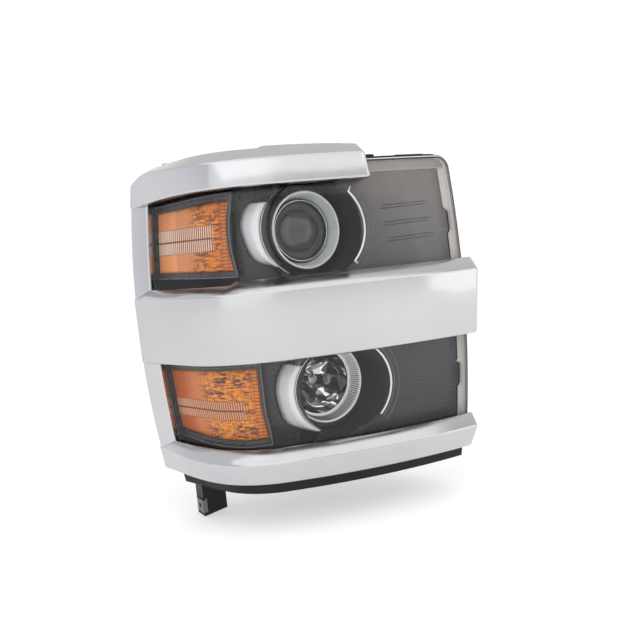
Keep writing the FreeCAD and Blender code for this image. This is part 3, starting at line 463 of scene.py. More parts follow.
def amber_material(name, start, band, split, reach, hue):
    """Amber turn-signal lens: a ribbed band, plain blocks, fine hatching and cut facets, as tinted zones, with
    a faint painted glow.
    start is its inboard station, band and split are heights, and the facets end at reach from the start."""
    net = Net(name)
    s, z = net.stations()
    peach, orange, deep, brown, dark, pale = hue
    in_band = net.band(z, band[0], band[1], 0.4)
    tone, edge = net.cells(net.stretch(15.0, 36.0, 1.0, net.uv))
    patch = net.ramp(net.noise(3.2, 2.0, net.uv), 0.42, 0.58)
    slant = net.tree.nodes.new("ShaderNodeMapping")
    slant.inputs["Rotation"].default_value = (0.0, 0.0, 0.62)
    slant.inputs["Scale"].default_value = (10.0, 52.0, 1.0)
    net.link(net.uv, slant.inputs["Vector"])
    tone_b, _ = net.cells(slant.outputs[0])
    facets = net.mix(net.ramp(tone, 0.2, 0.5), brown, orange)
    facets = net.mix(net.times(net.ramp(tone_b, 0.45, 0.8), patch), facets, dark)
    facets = net.mix(net.times(net.ramp(tone_b, 0.22, 0.1), 0.8), facets, shade(orange, 1.35))
    facets = net.mix(net.times(net.ramp(edge, 0.42, 0.75), 0.25), facets, dark)
    hatch = net.ramp(net.math("SINE", net.times(z, 3.4)), -0.4, 0.6)
    hatched = net.mix(net.times(hatch, 0.55), net.mix(0.4, peach, orange), brown)
    body = net.mix(net.ramp(s, start + reach, start + reach + 26.0), facets, hatched)
    body = net.mix(net.ramp(s, 381.0, 383.0), body, peach)
    wave = net.math("SINE", net.times(s, 2 * math.pi / RIB_PITCH))
    ribs = net.mix(net.ramp(wave, -0.35, 0.35), net.mix(0.35, brown, dark), pale)
    faded = net.mix(net.ramp(s, 372.0, 402.0, 0.0, 0.7), ribs, shade(pale, 0.85))
    banded = net.mix(net.ramp(s, start + 22.0, start + 34.0), facets, faded)
    body = net.mix(in_band, body, banded)
    groove = net.band(z, split - 0.9, split + 0.9, 0.5)
    body = net.mix(net.times(groove, net.ramp(s, start + 20.0, start + 34.0)), body, dark)
    for line in band:
        body = net.mix(net.times(net.band(z, line - 0.5, line + 0.5, 0.4), 0.5), body, dark)
    inner = net.ramp(s, start + 16.0, start + 12.0)
    ticks = net.ramp(net.math("SINE", net.times(z, 1.55)), 0.1, 0.7)
    rim = net.mix(net.times(ticks, 0.85), net.mix(0.3, orange, deep), net.mix(0.6, deep, dark))
    body = net.mix(net.times(inner, 0.85), body, rim)
    for line in (5.5, 13.0, 16.0):
        streak = net.times(net.band(s, start + line, start + line + 1.1, 0.5), 0.8)
        body = net.mix(streak, body, deep)
    # Painted glow: the lens emits a little of its own colour, though its bulb is not lit.
    net.set(Base_Color=body, Roughness=net.ramp(tone, 0.0, 1.0, 0.12, 0.24), IOR=1.49, Coat_Weight=0.1,
            Coat_Roughness=0.05, Emission_Color=body, Emission_Strength=0.1)
    height = net.math("ADD", net.times(tone, 0.6), net.times(tone_b, 0.6))
    net.bump(height, 0.35, 0.0009)
    return net.material


CHROME = chrome_material()
CLEAR = lens_material()
PANEL_PAINTED_LIGHT = panel_material()
BLACK = plain("black_housing_plastic", (15, 15, 16), 0.5, vary=0.25, grain=1500.0, bump=0.2,
              Specular_IOR_Level=0.3)
LENS_EDGE = plain("frosted_lens_leg", (226, 221, 217), 0.45, vary=0.06, grain=500.0, bump=0.1)
FLUTED_PAINTED_LIGHT = fluted_material()
FACETED_PAINTED_REFLECTION = faceted_material()
SHROUD = plain("shroud_black", (24, 24, 25), 0.34, vary=0.2, grain=40.0, bump=0.05, distance=0.0003,
               rough_vary=0.03)
SILVER = plain("satin_silver", (234, 234, 236), 0.2, metal=1.0, vary=0.04, grain=800.0, bump=0.04)
WHITE_SILVER = plain("bright_reflector_plate", (246, 246, 249), 0.25, metal=0.05, vary=0.03, grain=600.0,
                     bump=0.03, rough_vary=0.03)
FLANGE = flange_material()
FLOOR_GREY = plain("side_floor_grey", (44, 45, 47), 0.32, vary=0.15, grain=900.0, bump=0.04)
CONE = plain("ring_satin_green_grey", (238, 244, 241), 0.3, metal=0.15, vary=0.03, grain=900.0, bump=0.03,
             rough_vary=0.03)
MIRROR = plain("aluminised_reflector", (206, 206, 208), 0.05, metal=1.0, vary=0.03, grain=500.0,
               bump=0.02, rough_vary=0.03)
FRAME = plain("smoked_frame_plastic", (44, 44, 46), 0.3, vary=0.15, grain=1200.0, bump=0.08)
BEAD = plain("frame_bead_grey", (104, 106, 112), 0.3, vary=0.1, grain=900.0, bump=0.05)
GLASS = plain("projector_glass", (52, 56, 58), 0.04, vary=0.1, grain=300.0, bump=0.01, rough_vary=0.02,
              IOR=1.9, Alpha=0.45, Coat_Weight=0.5, Coat_Roughness=0.02)
# Grey of the painted reflection behind the projector's glass.
PAINTED_REFLECTION_GREY = plain("projector_painted_reflection_grey", (112, 118, 118), 0.35, vary=0.15, grain=500.0, bump=0.05)
INNER_DARK = plain("projector_inner_dark", (58, 60, 62), 0.4, vary=0.2, grain=500.0, bump=0.05)
STEEL = plain("zinc_steel", (168, 166, 162), 0.3, metal=1.0, vary=0.12, grain=700.0, bump=0.15)
DARK_ZINC = plain("dark_zinc", (112, 110, 106), 0.4, metal=0.9, vary=0.2, grain=700.0, bump=0.2)
RUBBER = plain("black_rubber", (30, 30, 30), 0.7, vary=0.2, grain=900.0, bump=0.3)
SEALANT = plain("black_sealant", (24, 24, 25), 0.6, vary=0.2, grain=400.0, bump=0.4)
GREY_PLASTIC = plain("grey_connector_plastic", (84, 85, 88), 0.45, vary=0.12, grain=1300.0, bump=0.15)
CAP_PLASTIC = plain("dark_cap_plastic", (38, 38, 40), 0.4, vary=0.2, grain=1400.0, bump=0.2)
NYLON = plain("white_nylon", (222, 219, 208), 0.4, vary=0.05, grain=1000.0, bump=0.12)
CAST = plain("cast_aluminium", (150, 151, 152), 0.45, metal=1.0, vary=0.12, grain=600.0, bump=0.35)
BULB = plain("bulb_glass", (196, 200, 204), 0.05, vary=0.04, grain=200.0, bump=0.01, rough_vary=0.02,
             Alpha=0.5)

# Amber hues, in the order of amber_material's names
UPPER_HUE = tuple(srgb(*c) for c in (
    (238, 154, 96), (230, 132, 26), (156, 56, 12), (150, 84, 36), (100, 54, 26), (240, 204, 184)))
LOWER_HUE = tuple(srgb(*c) for c in (
    (196, 98, 42), (242, 140, 6), (150, 50, 8), (176, 88, 20), (88, 42, 16), (222, 160, 120)))
UPPER_BAND, LOWER_BAND = (98.0, 127.0), (-97.5, -75.5)  # heights of the ribbed bands
UPPER_AMBER = amber_material("upper_amber", 286.0, UPPER_BAND, 112.3, 54.0, UPPER_HUE)
LOWER_AMBER = amber_material("lower_amber", 264.0, LOWER_BAND, -86.7, 84.0, LOWER_HUE)

# The CAD nodes that stay visible
for finish, names in (
        (BLACK, "housing"),
        (SEALANT, "lens_seal"),
        (STEEL, "trim_screws low_pivot_studs high_pivot_studs cutoff_shield"),
        (DARK_ZINC, "lower_spring_nut"),
        (RUBBER, "vent_elbows low_bulb_seal high_bulb_seal low_cap_seal high_cap_seal"),
        (RUBBER, "upper_socket_seal lower_socket_seal"),
        (GREY_PLASTIC, "main_connector low_bulb_base high_bulb_base upper_turn_socket lower_turn_socket"),
        (CAP_PLASTIC, "low_carriage high_carriage low_access_cap high_access_cap"),
        (NYLON, "low_pivot_sockets high_pivot_sockets low_adjuster_nut high_adjuster_nut"),
        (NYLON, "low_adjuster_screw high_adjuster_screw"),
        (CAST, "projector_holder projector_bowl"),
        (BULB, "low_bulb_glass high_bulb_glass upper_turn_bulb lower_turn_bulb"),
        (MIRROR, "upper_turn_reflector lower_turn_reflector")):
    for node in names.split():
        NODES[node].data.materials.clear()
        NODES[node].data.materials.append(finish)


# -------- plated trim

TRIM_END, TRIM_PITCH = 436.7, 5.0
TAPER_START, TAPER_LENGTH = 277.8, 158.9
END_ROUND = 2.2  # radius of the bars' ends
SLANT_REACH = 45.0  # how far along a bar its slanted end is felt
FLUSH, FLUSH_START = 9.6, 366.0  # where the bars sink to the side strips
DROP_START, FALL_START, FALL_LENGTH = 400.0, 238.0, 120.0


def taper(s):
    return max(0.0, (s - TAPER_START) / TAPER_LENGTH) ** 2


def bar(name, contour, radii, starts, start, step_down=None, drop_end=0.0, lip_fall=0.0, replaces=()):
    """A plated bar. contour gives (offset, height, taper) points from the upper lip to the lower one, and
    starts gives the station of the inboard end at each height. step_down gives a height, how far what is
    above it steps down, and the station of the step. drop_end and lip_fall lower the upper lip towards its
    outboard and inboard ends."""
    flat = rounded([(d, z) for d, z, _ in contour], radii)
    back = min(contour[0][0], contour[-1][0])
    profile_taper = [(z, k) for _, z, k in sorted(contour, key=lambda c: c[1])]
    turn = [math.pi / 2 * k / 4 for k in range(4, 0, -1)]
    ends = [(END_ROUND * (1 - math.sin(a)), END_ROUND * (1 - math.cos(a))) for a in turn]
    stations = [(start, None)] + [(start + along, sink) for along, sink in ends]
    stations += [(s, 0.0) for s in steps(start + END_ROUND, TRIM_END - END_ROUND, TRIM_PITCH)]
    stations += [(TRIM_END - along, sink) for along, sink in reversed(ends)] + [(TRIM_END, None)]
    rows, uvs = [], []
    for s, sink in stations:
        end_share = max(0.0, (s - DROP_START) / (TRIM_END - DROP_START)) ** 2
        fall_share = max(0.0, (FALL_START - s) / FALL_LENGTH) ** 2
        line, uv = [], []
        for d, z in flat:
            z_here = z + curve_value(profile_taper, z) * taper(s)
            if step_down and z > step_down[0]:
                z_here -= step_down[1] * smooth((s - step_down[2]) / 5.0)
            d = lerp(d, min(d, FLUSH), smooth((s - FLUSH_START) / (TRIM_END - FLUSH_START)))
            z_here -= drop_end * end_share * smooth((z_here - 172.0) / 14.0)
            z_here -= lip_fall * fall_share * smooth((z_here - 192.0) / 10.0)
            d_here = back if sink is None else max(back, d - sink)
            slant = (curve_value(starts, z) - start) * max(0.0, 1 - (s - start) / SLANT_REACH)
            line.append(front(s + slant, z_here, d_here))
            uv.append((s * UV_SCALE, z_here * UV_SCALE))
        rows.append(line)
        uvs.append(uv)
    return make_piece(name, rows, CHROME, "bright_trim", replaces=replaces, uvs=uvs, wall=2.2, sharp=34)


def make_trim():
    bar("top_bar",
        [(-27.5, 205.0, -5.65), (1.0, 205.0, -5.65), (14.3, 190.9, 4.1), (14.1, 165.2, -6.5),
         (3.2, 164.4, -6.5)],
        [1.6, 2.4, 1.2],
        [(165.2, 121.5), (167.5, 117.5), (172.5, 115.2), (180.0, 117.5), (190.9, 123.0), (205.0, 124.5)],
        118.0, step_down=(198.0, 2.2, 236.0), drop_end=13.0, lip_fall=3.6, replaces=("chrome_trim",))
    bar("middle_bar",
        [(2.0, 59.0, 0.0), (2.2, 61.0, 0.0), (16.6, 47.9, 0.0), (9.1, -26.6, 0.0), (1.6, -27.4, 0.0)],
        [0.8, 1.2, 1.2],
        [(-26.6, -4.5), (-23.0, -8.0), (-19.0, -9.0), (47.9, -6.0), (61.0, -10.0)],
        -8.0, step_down=(55.0, 3.6, 280.0))
    bar("bottom_bar",
        [(2.0, -133.0, 2.4), (2.2, -130.4, 2.4), (17.6, -143.2, 6.6), (13.4, -166.3, 4.9),
         (1.6, -167.0, 4.9)],
        [0.8, 1.2, 1.2],
        [(-166.3, 7.0), (-161.0, 2.5), (-143.2, 1.5), (-130.4, -3.0)], 0.0)
    points = [(414.0, -3.0), (414.2, 2.2), (432.6, 9.9), (436.4, 7.6), (436.6, -9.0)]
    section = rounded(points, [0.8, 2.2, 1.6])
    for name, z0, z1 in (("upper_side_strip", 44.0, 172.0), ("lower_side_strip", -158.0, -20.0)):
        grid = [[(s, z, d) for s, d in section] for z in steps(z0, z1, 5.0)]
        front_piece(name, grid, CHROME, "bright_trim", wall=2.0, sharp=34)


# -------- clear lens

LENS_RIM = 1.2  # the front sheet's edge, inside the lens's outline


def outline(inset):
    """Stations and heights round the lens's edge, with the top inboard corner rounded."""
    a, b = inset, LENS_LENGTH - inset
    lo, hi = LENS_BOTTOM + inset, LENS_TOP - inset
    r = LENS_CORNER - inset
    points = [(s, lo) for s in steps(a, b, 6.0)[:-1]]
    points += [(b, z) for z in steps(lo, hi, 8.0)[:-1]]
    points += [(s, hi) for s in steps(b, a + r, 6.0)[:-1]]
    turn = [math.pi / 2 * k / 9 for k in range(9)]
    points += [(a + r - r * math.sin(t), hi - r + r * math.cos(t)) for t in turn]
    points += [(a, z) for z in steps(hi - r, lo, 8.0)[:-1]]
    return points


def make_clear_lens():
    """The domed front sheet, rolled over at its edge, and the frosted leg behind the edge."""
    r = LENS_CORNER - LENS_RIM
    corner_s, corner_z = LENS_RIM + r, LENS_TOP - LENS_RIM - r
    grid = []
    for u in steps(0.0, 1.0, 1 / 74):
        line = []
        for v in steps(0.0, 1.0, 1 / 44):
            s = lerp(LENS_RIM, LENS_LENGTH - LENS_RIM, u)
            z = lerp(LENS_BOTTOM + LENS_RIM, LENS_TOP - LENS_RIM, v)
            ds, dz = corner_s - s, z - corner_z
            if ds > 0 and dz > 0:
                share = max(ds, dz) / math.hypot(ds, dz)
                s, z = corner_s - ds * share, corner_z + dz * share
            line.append((s, z, 0.0))
        grid.append(line)
    front_piece("lens_front", grid, CLEAR, "clear_lens", replaces=("outer_lens",), sharp=60)
    leg = ((LENS_RIM, -0.05), (0.3, -0.4), (0.0, -1.6), (0.0, -25.8), (3.0, -25.8), (3.0, -3.2))
    rows = [[front(s, z, d) for s, z in outline(inset)] for inset, d in leg]
    make_piece("lens_leg", rows, LENS_EDGE, "clear_lens", closed=True, sharp=40)
    edge = [front(s, z, -2.6) for s, z in outline(-0.2) if s < 126.0 and z > -165.0]
    tube_along("lens_edge_seal", edge, 0.8, SEALANT, "sealant", sides=8)


# -------- inner bezel

BEZEL_D = -12.5  # the bezel's face
PANEL_START, FLOOR_START, FLOOR_END = 8.0, 226.0, 285.0  # stations
PANEL_PLAY = 2.4  # from a shroud's mouth to the panel round it
TABS = ((97.0, 121.0), (-92.0, -66.0))  # heights of the panels' tabs over the flange
FLANGE_EDGE = 2.8  # the flange's outer edge, from the lens's outline
NARROW = 0.62  # the flange's width below the upper tab, as a share


def ring_to_box(centre, r, corners, sides, plate):
    """Matching points on a circle about centre and on a box, in stations and heights. sides says how many lie
    along and up the box. Within plate's angles, where the bright plate is, the box's fall on the circle too."""
    (s0, z0), (s1, z1) = corners
    along, up = sides
    edge = []
    for (sa, za), (sb, zb), n in (((s0, z0), (s1, z0), along), ((s1, z0), (s1, z1), up),
                                  ((s1, z1), (s0, z1), along), ((s0, z1), (s0, z0), up)):
        edge += [(lerp(sa, sb, k / n), lerp(za, zb, k / n)) for k in range(n)]
    cs = station_of(centre[0], BEZEL_D)
    inner, outer = [], []
    for s, z in edge:
        reach = math.hypot(s - cs, z - centre[1])
        around = (cs + (s - cs) / reach * r, centre[1] + (z - centre[1]) / reach * r)
        angle = math.degrees(math.atan2(z - centre[1], s - cs))
        inner.append(around)
        outer.append((s, z) if reach > r and not plate[0] < angle < plate[1] else around)
    return inner, outer


# Outer edges of the bright plates, as stations and heights
LOW_PLATE = smooth_curve(
    [(262.0, 147.0), (272.0, 136.0), (276.0, 121.0), (270.0, 101.0), (258.0, 83.0), (236.0, 75.0)], 6)
HIGH_PLATE = smooth_curve(
    [(233.0, -37.0), (242.0, -52.0), (246.0, -70.0), (243.0, -92.0), (235.0, -110.0), (212.0, -121.0)], 6)


def make_panels():
    for name, mouth, r, z0, z1, plate, tab, replaces in (
            ("upper_panel", LOW_MOUTH, LOW_SHROUD_R, 17.5, 181.0, (-43.0, 36.0), TABS[0], ("inner_bezel",)),
            ("lower_panel", HIGH_MOUTH, HIGH_SHROUD_R, -160.0, 17.0, (-58.0, 37.0), TABS[1], ())):
        box = ((PANEL_START, z0), (FLOOR_START, z1))
        inner, edge = ring_to_box(mouth, r + PANEL_PLAY, box, (64, 60), plate)
        grid = []
        for t, d in ((0.0, -20.0), (0.0, BEZEL_D - 0.8), (0.012, BEZEL_D), (0.2, BEZEL_D), (0.4, BEZEL_D),
                     (0.6, BEZEL_D), (0.8, BEZEL_D), (0.99, BEZEL_D), (1.0, BEZEL_D - 0.8),
                     (1.0, BEZEL_D - 9.0)):
            line = []
            for (sa, za), (sb, zb) in zip(inner, edge):
                if sb < PANEL_START + 0.5:
                    sb -= 4.6 * smooth((zb - tab[0] + 3.0) / 5.0) * smooth((tab[1] + 3.0 - zb) / 5.0)
                line.append((lerp(sa, sb, t), lerp(za, zb, t), d))
            grid.append(line)
        front_piece(name, grid, PANEL_PAINTED_LIGHT, "bezel_grey", closed=True, replaces=replaces, sharp=40)


def floor_edge(z):
    """Where the side floor starts at this height: past the panel, the mouth and the bright plate."""
    for mouth, r, outer in ((LOW_MOUTH, LOW_SHROUD_R, LOW_PLATE), (HIGH_MOUTH, HIGH_SHROUD_R, HIGH_PLATE)):
        if outer[-1][1] < z < outer[0][1]:
            return curve_value(sorted((z1, s1) for s1, z1 in outer), z) + 0.3, -30.0
        half = (r + 3.4) ** 2 - (z - mouth[1]) ** 2
        if half > 0:
            return max(FLOOR_START, station_of(mouth[0] - math.sqrt(half), BEZEL_D)), BEZEL_D
    return FLOOR_START, BEZEL_D


def make_side_floor():
    """A step down from the panel's edge in its first four columns, then the recessed floor."""
    grid = []
    for part in range(16):
        line = []
        for z in steps(-161.0, 176.0, 2.5):
            start, depth = floor_edge(z)
            d = (depth, depth - 0.8, -31.5, -33.0)[min(part, 3)]
            if part < 4:
                line.append((start + (0.0, 0.6, 1.2, 2.0)[part], z, d))
            else:
                line.append((lerp(start + 2.0, FLOOR_END, (part - 3) / 12), z, d))
        grid.append(line)
    front_piece("side_floor", grid, FLOOR_GREY, "bezel_grey", wall=1.5, sharp=50)


def make_panel_ribs():
    """Pairs of fine raised lines across the panels."""
    pairs = ((134.0, 34.0, 96.0), (114.5, 30.0, 96.0), (96.0, 28.0, 92.0), (-75.0, 30.0, 86.0),
             (-97.0, 30.0, 86.0))
    for k, (z, s0, s1) in enumerate(pairs):
        for n in (0, 1):
            a, b = s0 + 4.0 * n, s1 + 3.0 * n
            points = [front(s, z - 3.5 * n - 0.03 * (s - a), BEZEL_D + 0.1) for s in steps(a, b, 6.0)]
            tube_along(f"panel_rib_{2 * k + n}", points, 0.5, PANEL_PAINTED_LIGHT, "bezel_grey", sides=8, flat=0.5)


def flange_width(z):
    """How much of its full width the flange has at this height: none under a tab, and less below each one."""
    for low_z, high_z in TABS:
        if low_z - 60.0 < z < high_z + 3.0:
            return max(NARROW * smooth((low_z - z) / 4.0), smooth((z - high_z) / 3.0))
    return NARROW if z < TABS[0][0] else 1.0


def make_flange():
    """The lighter return along the top and the inboard edge of the bezel, with a tab of the panel over it."""
    r = LENS_CORNER - FLANGE_EDGE
    rows = []
    for inset, d in ((FLANGE_EDGE, -8.0), (3.6, -8.2), (8.6, -12.2), (9.6, -12.35)):
        inset_top = FLANGE_EDGE + (inset - FLANGE_EDGE) * 1.7
        top = LENS_TOP - inset_top
        line = [front(s, top, d) for s in steps(214.0, LENS_CORNER, 5.0)]
        for k in range(1, 9):
            a = math.pi / 2 * k / 8
            s = LENS_CORNER - (LENS_CORNER - inset) * math.sin(a)
            line.append(front(s, top - (LENS_CORNER - inset_top) * (1 - math.cos(a)), d))
        for z in steps(LENS_TOP - FLANGE_EDGE - r - 3.0, -160.0, 3.0):
            line.append(front(lerp(FLANGE_EDGE, inset, flange_width(z)), z, d))
        rows.append(line)
    make_piece("bezel_flange", rows, FLANGE, "bezel_grey", sharp=60, wall=0.6)


def circle_on_front(mouth, r, span, d):
    """Points at 41 angles round a mouth, at offset d. Angle 0 is inboard, and 90 is up."""
    points = []
    for k in range(41):
        a = math.radians(lerp(span[0], span[1], k / 40))
        points.append(front(station_of(mouth[0] + r * math.cos(a), d), mouth[1] + r * math.sin(a), d))
    return points


def make_rims(prefix, mouth, r, span, replaces):
    """The bright arc inboard of a mouth with two fine steps round it, and the line on its outboard edge."""
    points = circle_on_front(mouth, r + 1.8, span, BEZEL_D + 0.9)
    if prefix == "low":
        tail = [points[0] + Vector((3.2, 0.3, -3.4)) * (1 - k / 3) for k in range(3)]
        head = [points[-1] + Vector((2.6, 0.3, 5.5)) * (k / 3) for k in range(1, 4)]
        points = tail + points + head
    tube_along(prefix + "_accent_rim", points, 1.5, SILVER, "bright_accent", replaces=replaces, flat=0.9)
    for k, (extra, width) in enumerate(((6.5, 0.5), (13.0, 0.45))):
        step = circle_on_front(mouth, r + extra, span, BEZEL_D + 0.1)
        tube_along(f"{prefix}_rim_step_{k}", step, width, BEAD, "bezel_grey")
    edge = circle_on_front(mouth, r + 0.2, (128.0, 236.0), BEZEL_D + 0.8)
    tube_along(prefix + "_mouth_edge", edge, 0.8, SILVER, "bright_accent")


def make_crescent(name, mouth, r, angles, outer, replaces):
    """The bright plate that flares from a shroud's outboard edge back to the side floor."""
    reach = len(outer) - 1
    outer_s = [(k / reach, s) for k, (s, _) in enumerate(outer)]
    outer_z = [(k / reach, z) for k, (_, z) in enumerate(outer)]
    grid = []
    for share in steps(0.0, 1.0, 1 / 40):
        a = math.radians(lerp(angles[0], angles[1], share))
        s_in, z_in = station_of(mouth[0] - r * math.cos(a), BEZEL_D), mouth[1] + r * math.sin(a)
        s_out, z_out = curve_value(outer_s, share), curve_value(outer_z, share)
        line = []
        for t in (0.0, 0.15, 0.28, 0.32, 0.5, 0.75, 1.0):
            d = -10.8 - 9.0 * t if t < 0.3 else lerp(-13.5, -29.5, (t - 0.3) / 0.7)
            line.append((lerp(s_in, s_out, t), lerp(z_in, z_out, t), d))
        grid.append(line)
    front_piece(name, grid, WHITE_SILVER, "bright_accent", replaces=replaces, wall=1.2, sharp=50)


def make_shrouds():
    """The tube from each mouth's rolled edge back to the lamp's opening."""
    turn = [2 * math.pi * i / 128 for i in range(128)]
    hole = 49.0
    for prefix, mouth, r, lamp, back in (("low", LOW_MOUTH, LOW_SHROUD_R, LOW, 46.5),
                                         ("high", HIGH_MOUTH, HIGH_SHROUD_R, HIGH, 44.0)):
        rows = []
        for radius, rise in ((r + 2.6, -0.6), (r + 1.2, 0.4), (r, -0.8)):
            rows.append([front(station_of(mouth[0] + radius * math.cos(a), BEZEL_D),
                               mouth[1] + radius * math.sin(a), BEZEL_D + rise) for a in turn])
        for y, radius, (x, z) in (
                (10.0, r - 1.0, mouth), (back - 10, r - 2.0, mouth), (back - 3, r - 2.4, mouth),
                (back, r - 5.0, mouth), (back, hole, lamp), (back + 8.0, hole, lamp)):
            rows.append([Vector((x + radius * math.cos(a), y, z + radius * math.sin(a))) for a in turn])
        make_piece(prefix + "_shroud_tube", rows, SHROUD, "bezel_grey", closed=True,
                   replaces=(prefix + "_shroud",), sharp=40)


# -------- projector and high beam

def bead_profile(r, y, size, n):
    angles = [2 * math.pi * k / n for k in range(n)]
    return [(r + size * math.cos(t), y + size * math.sin(t)) for t in angles]


def make_projector():
    body = "low_beam_carriage"
    ring = [(44.6, 36.0), (44.9, 34.6), (44.0, 33.4), (42.9, 33.6), (42.2, 35.0), (37.6, 50.0), (37.6, 53.0),
            (38.6, 53.0), (40.0, 61.5), (42.4, 61.5)]
    lathe("projector_trim_ring", ring, LOW, CONE, body, replaces=("low_trim_ring",),
          turns=192)
    lathe("projector_bright_rim", bead_profile(43.6, 34.2, 1.5, 12), LOW, WHITE_SILVER, body,
          turns=192)
    retainer = [(33.6, 47.2), (34.3, 46.2), (35.6, 46.4), (36.2, 48.0), (37.2, 53.0), (37.2, 56.6),
                (33.6, 56.6)]
    lathe("glass_retainer", retainer, LOW, INNER_DARK, body, replaces=("lens_retainer",))
    lathe("retainer_bright_bead", bead_profile(34.9, 46.1, 0.55, 10), LOW, SILVER, body)
    dome = [(r, 34.2 + (r / 33.6) ** 2 * 14.0) for r in (3, 7, 11, 15, 19, 23, 27, 30, 32, 33.4)]
    glass = [(0.01, 34.2)] + dome + [(33.5, 50.0), (0.01, 50.0)]
    lathe("projector_glass", glass, LOW, GLASS, body, replaces=("projector_lens",),
          turns=128)
    # Painted reflection: a dark backdrop plate with a grey hexagon, centre and halo, set behind the glass to
    # stand in for what the projector shows.
    plate = [(0.01, 52.5), (33.0, 52.5), (33.0, 54.0), (0.01, 54.0)]
    lathe("projector_painted_reflection_backdrop", plate, LOW, INNER_DARK, body, turns=96)
    back = 52.4
    for name, r_out, r_in, y, sides in (("projector_hexagon_painted_reflection", 24.0, 15.5, 49.8, 6),
                                        ("projector_centre_painted_reflection", 15.0, 0.01, 50.6, 6),
                                        ("projector_halo_painted_reflection", 31.0, 28.6, 51.0, 96)):
        raised = [(r_in, back), (r_in, y + 0.6), (r_in + 0.5, y), (r_out - 0.8, y), (r_out, y + 0.8),
                  (r_out, back)]
        lathe(name, raised, LOW, PAINTED_REFLECTION_GREY, body, turns=sides, sharp=25)


def flute(a, r, y):
    """Flutes along the ring's cone, fading at its two edges."""
    if not (39.0 < r < 46.0 and 30.5 < y < 45.5):
        return 0.0
    return 0.55 * smooth((y - 30.0) / 2.0) * smooth((45.6 - y) / 2.0) * math.cos(FLUTES * a)


BOWL_R, BOWL_HOLE, BOWL_MOUTH, BOWL_BACK = 38.6, 13.4, 47.0, 106.0
SECTORS = 12


def facet(a, r, _):
    """Twelve slightly flattened sectors, each broken into stepped facets along its length."""
    phase = (a * SECTORS / (2 * math.pi)) % 1.0 - 0.5
    share = (r - BOWL_HOLE) / (BOWL_R - BOWL_HOLE)
    lift = 7.6 * share * (1 - share)
    return 0.315 * math.sin(share * 3 * math.pi) - lift * (0.25 - phase * phase) * 2.0


def make_high_beam():
    body = "high_beam_carriage"
    ring = [(46.4, 30.5), (46.7, 29.0), (46.0, 28.2), (45.2, 28.6), (44.8, 30.0), (44.4, 32.0), (43.2, 37.0),
            (42.0, 42.0), (41.2, 45.0), (40.6, 46.4), (38.6, 46.6), (38.6, 47.6), (41.6, 47.6), (43.6, 51.8),
            (44.6, 44.0)]
    lathe("high_fluted_ring", ring, HIGH, FLUTED_PAINTED_LIGHT, body, replaces=("high_trim_ring",),
          turns=FLUTES * 8, swell=flute, sharp=45)
    curve = []
    for r in steps(BOWL_R, BOWL_HOLE, (BOWL_R - BOWL_HOLE) / 24):
        round_share = math.sqrt(max(0.0, 1 - (r / BOWL_R) ** 2))
        curve.append((r, BOWL_MOUTH + (BOWL_BACK - BOWL_MOUTH) * round_share))
    outer = [(r + 1.6, y + 1.2) for r, y in reversed(curve)]
    lathe("high_reflector_bowl", curve + outer, HIGH, FACETED_PAINTED_REFLECTION, body,
          replaces=("high_beam_reflector",), turns=SECTORS * 16, swell=facet, sharp=22)
    cup = [(0.01, 62.8), (3.0, 63.2), (5.4, 64.4), (6.6, 66.4), (6.8, 68.0), (6.8, 76.0), (6.0, 76.0),
           (6.0, 67.4), (0.01, 64.4)]
    lathe("bulb_shield_cup", cup, HIGH, MIRROR, body, replaces=("high_bulb_shield",), turns=64)


# -------- turn signals

AMBER_END = 418.3
AMBER_D, FRAME_D = -14.6, -11.6  # the amber lenses' edge, and their frames' face


def amber_heights(unit, s):
    """The lower and upper edge of one amber lens at a station."""
    if unit == "upper":
        return curve_value([(286, 73.5), (418, 77.5)], s), curve_value([(286, 152.8), (418, 148.0)], s)
    lower = curve_value([(264, -120.5), (300, -122.5), (370, -121.0), (418, -115.0)], s)
    return lower, curve_value([(264, -37.6), (418, -40.5)], s)


def amber_start(unit, z):
    """The inboard edge's station at a height."""
    if unit == "upper":
        return 284.0 + 7.0 * (1 - ((z - 114.0) / 41.0) ** 2)
    return 263.4 + 5.0 * smooth((z + 122.0) / 40.0)


def amber_sheet(unit, nominal, band):
    """The lens as a grid, with real ribs in its band and cut facets near its inboard edge."""
    grid = []
    for u in steps(0.0, 1.0, 1 / 190):
        lo, hi = amber_heights(unit, lerp(nominal, AMBER_END, u))
        line = []
        for v in steps(0.0, 1.0, 1 / 72):
            z = lerp(lo, hi, v)
            s = lerp(amber_start(unit, z), AMBER_END, u)
            in_band = smooth((z - band[0]) / 0.8 + 0.5) * smooth((band[1] - z) / 0.8 + 0.5)
            ribs = 0.45 * math.sin(2 * math.pi * s / RIB_PITCH) * in_band * smooth((s - nominal - 22) / 12)
            cut = 0.5 * (abs((s / 7.0) % 2 - 1) + abs((z / 5.5 + s / 19.0) % 2 - 1))
            cut *= (1 - in_band) * smooth((350 - s) / 14)
            edge = smooth(min(u, 1 - u) * 60) * smooth(min(v, 1 - v) * 30)
            line.append((s, z, AMBER_D - 1.6 + (1.0 + ribs + cut * 0.8) * edge))
        grid.append(line)
    return grid


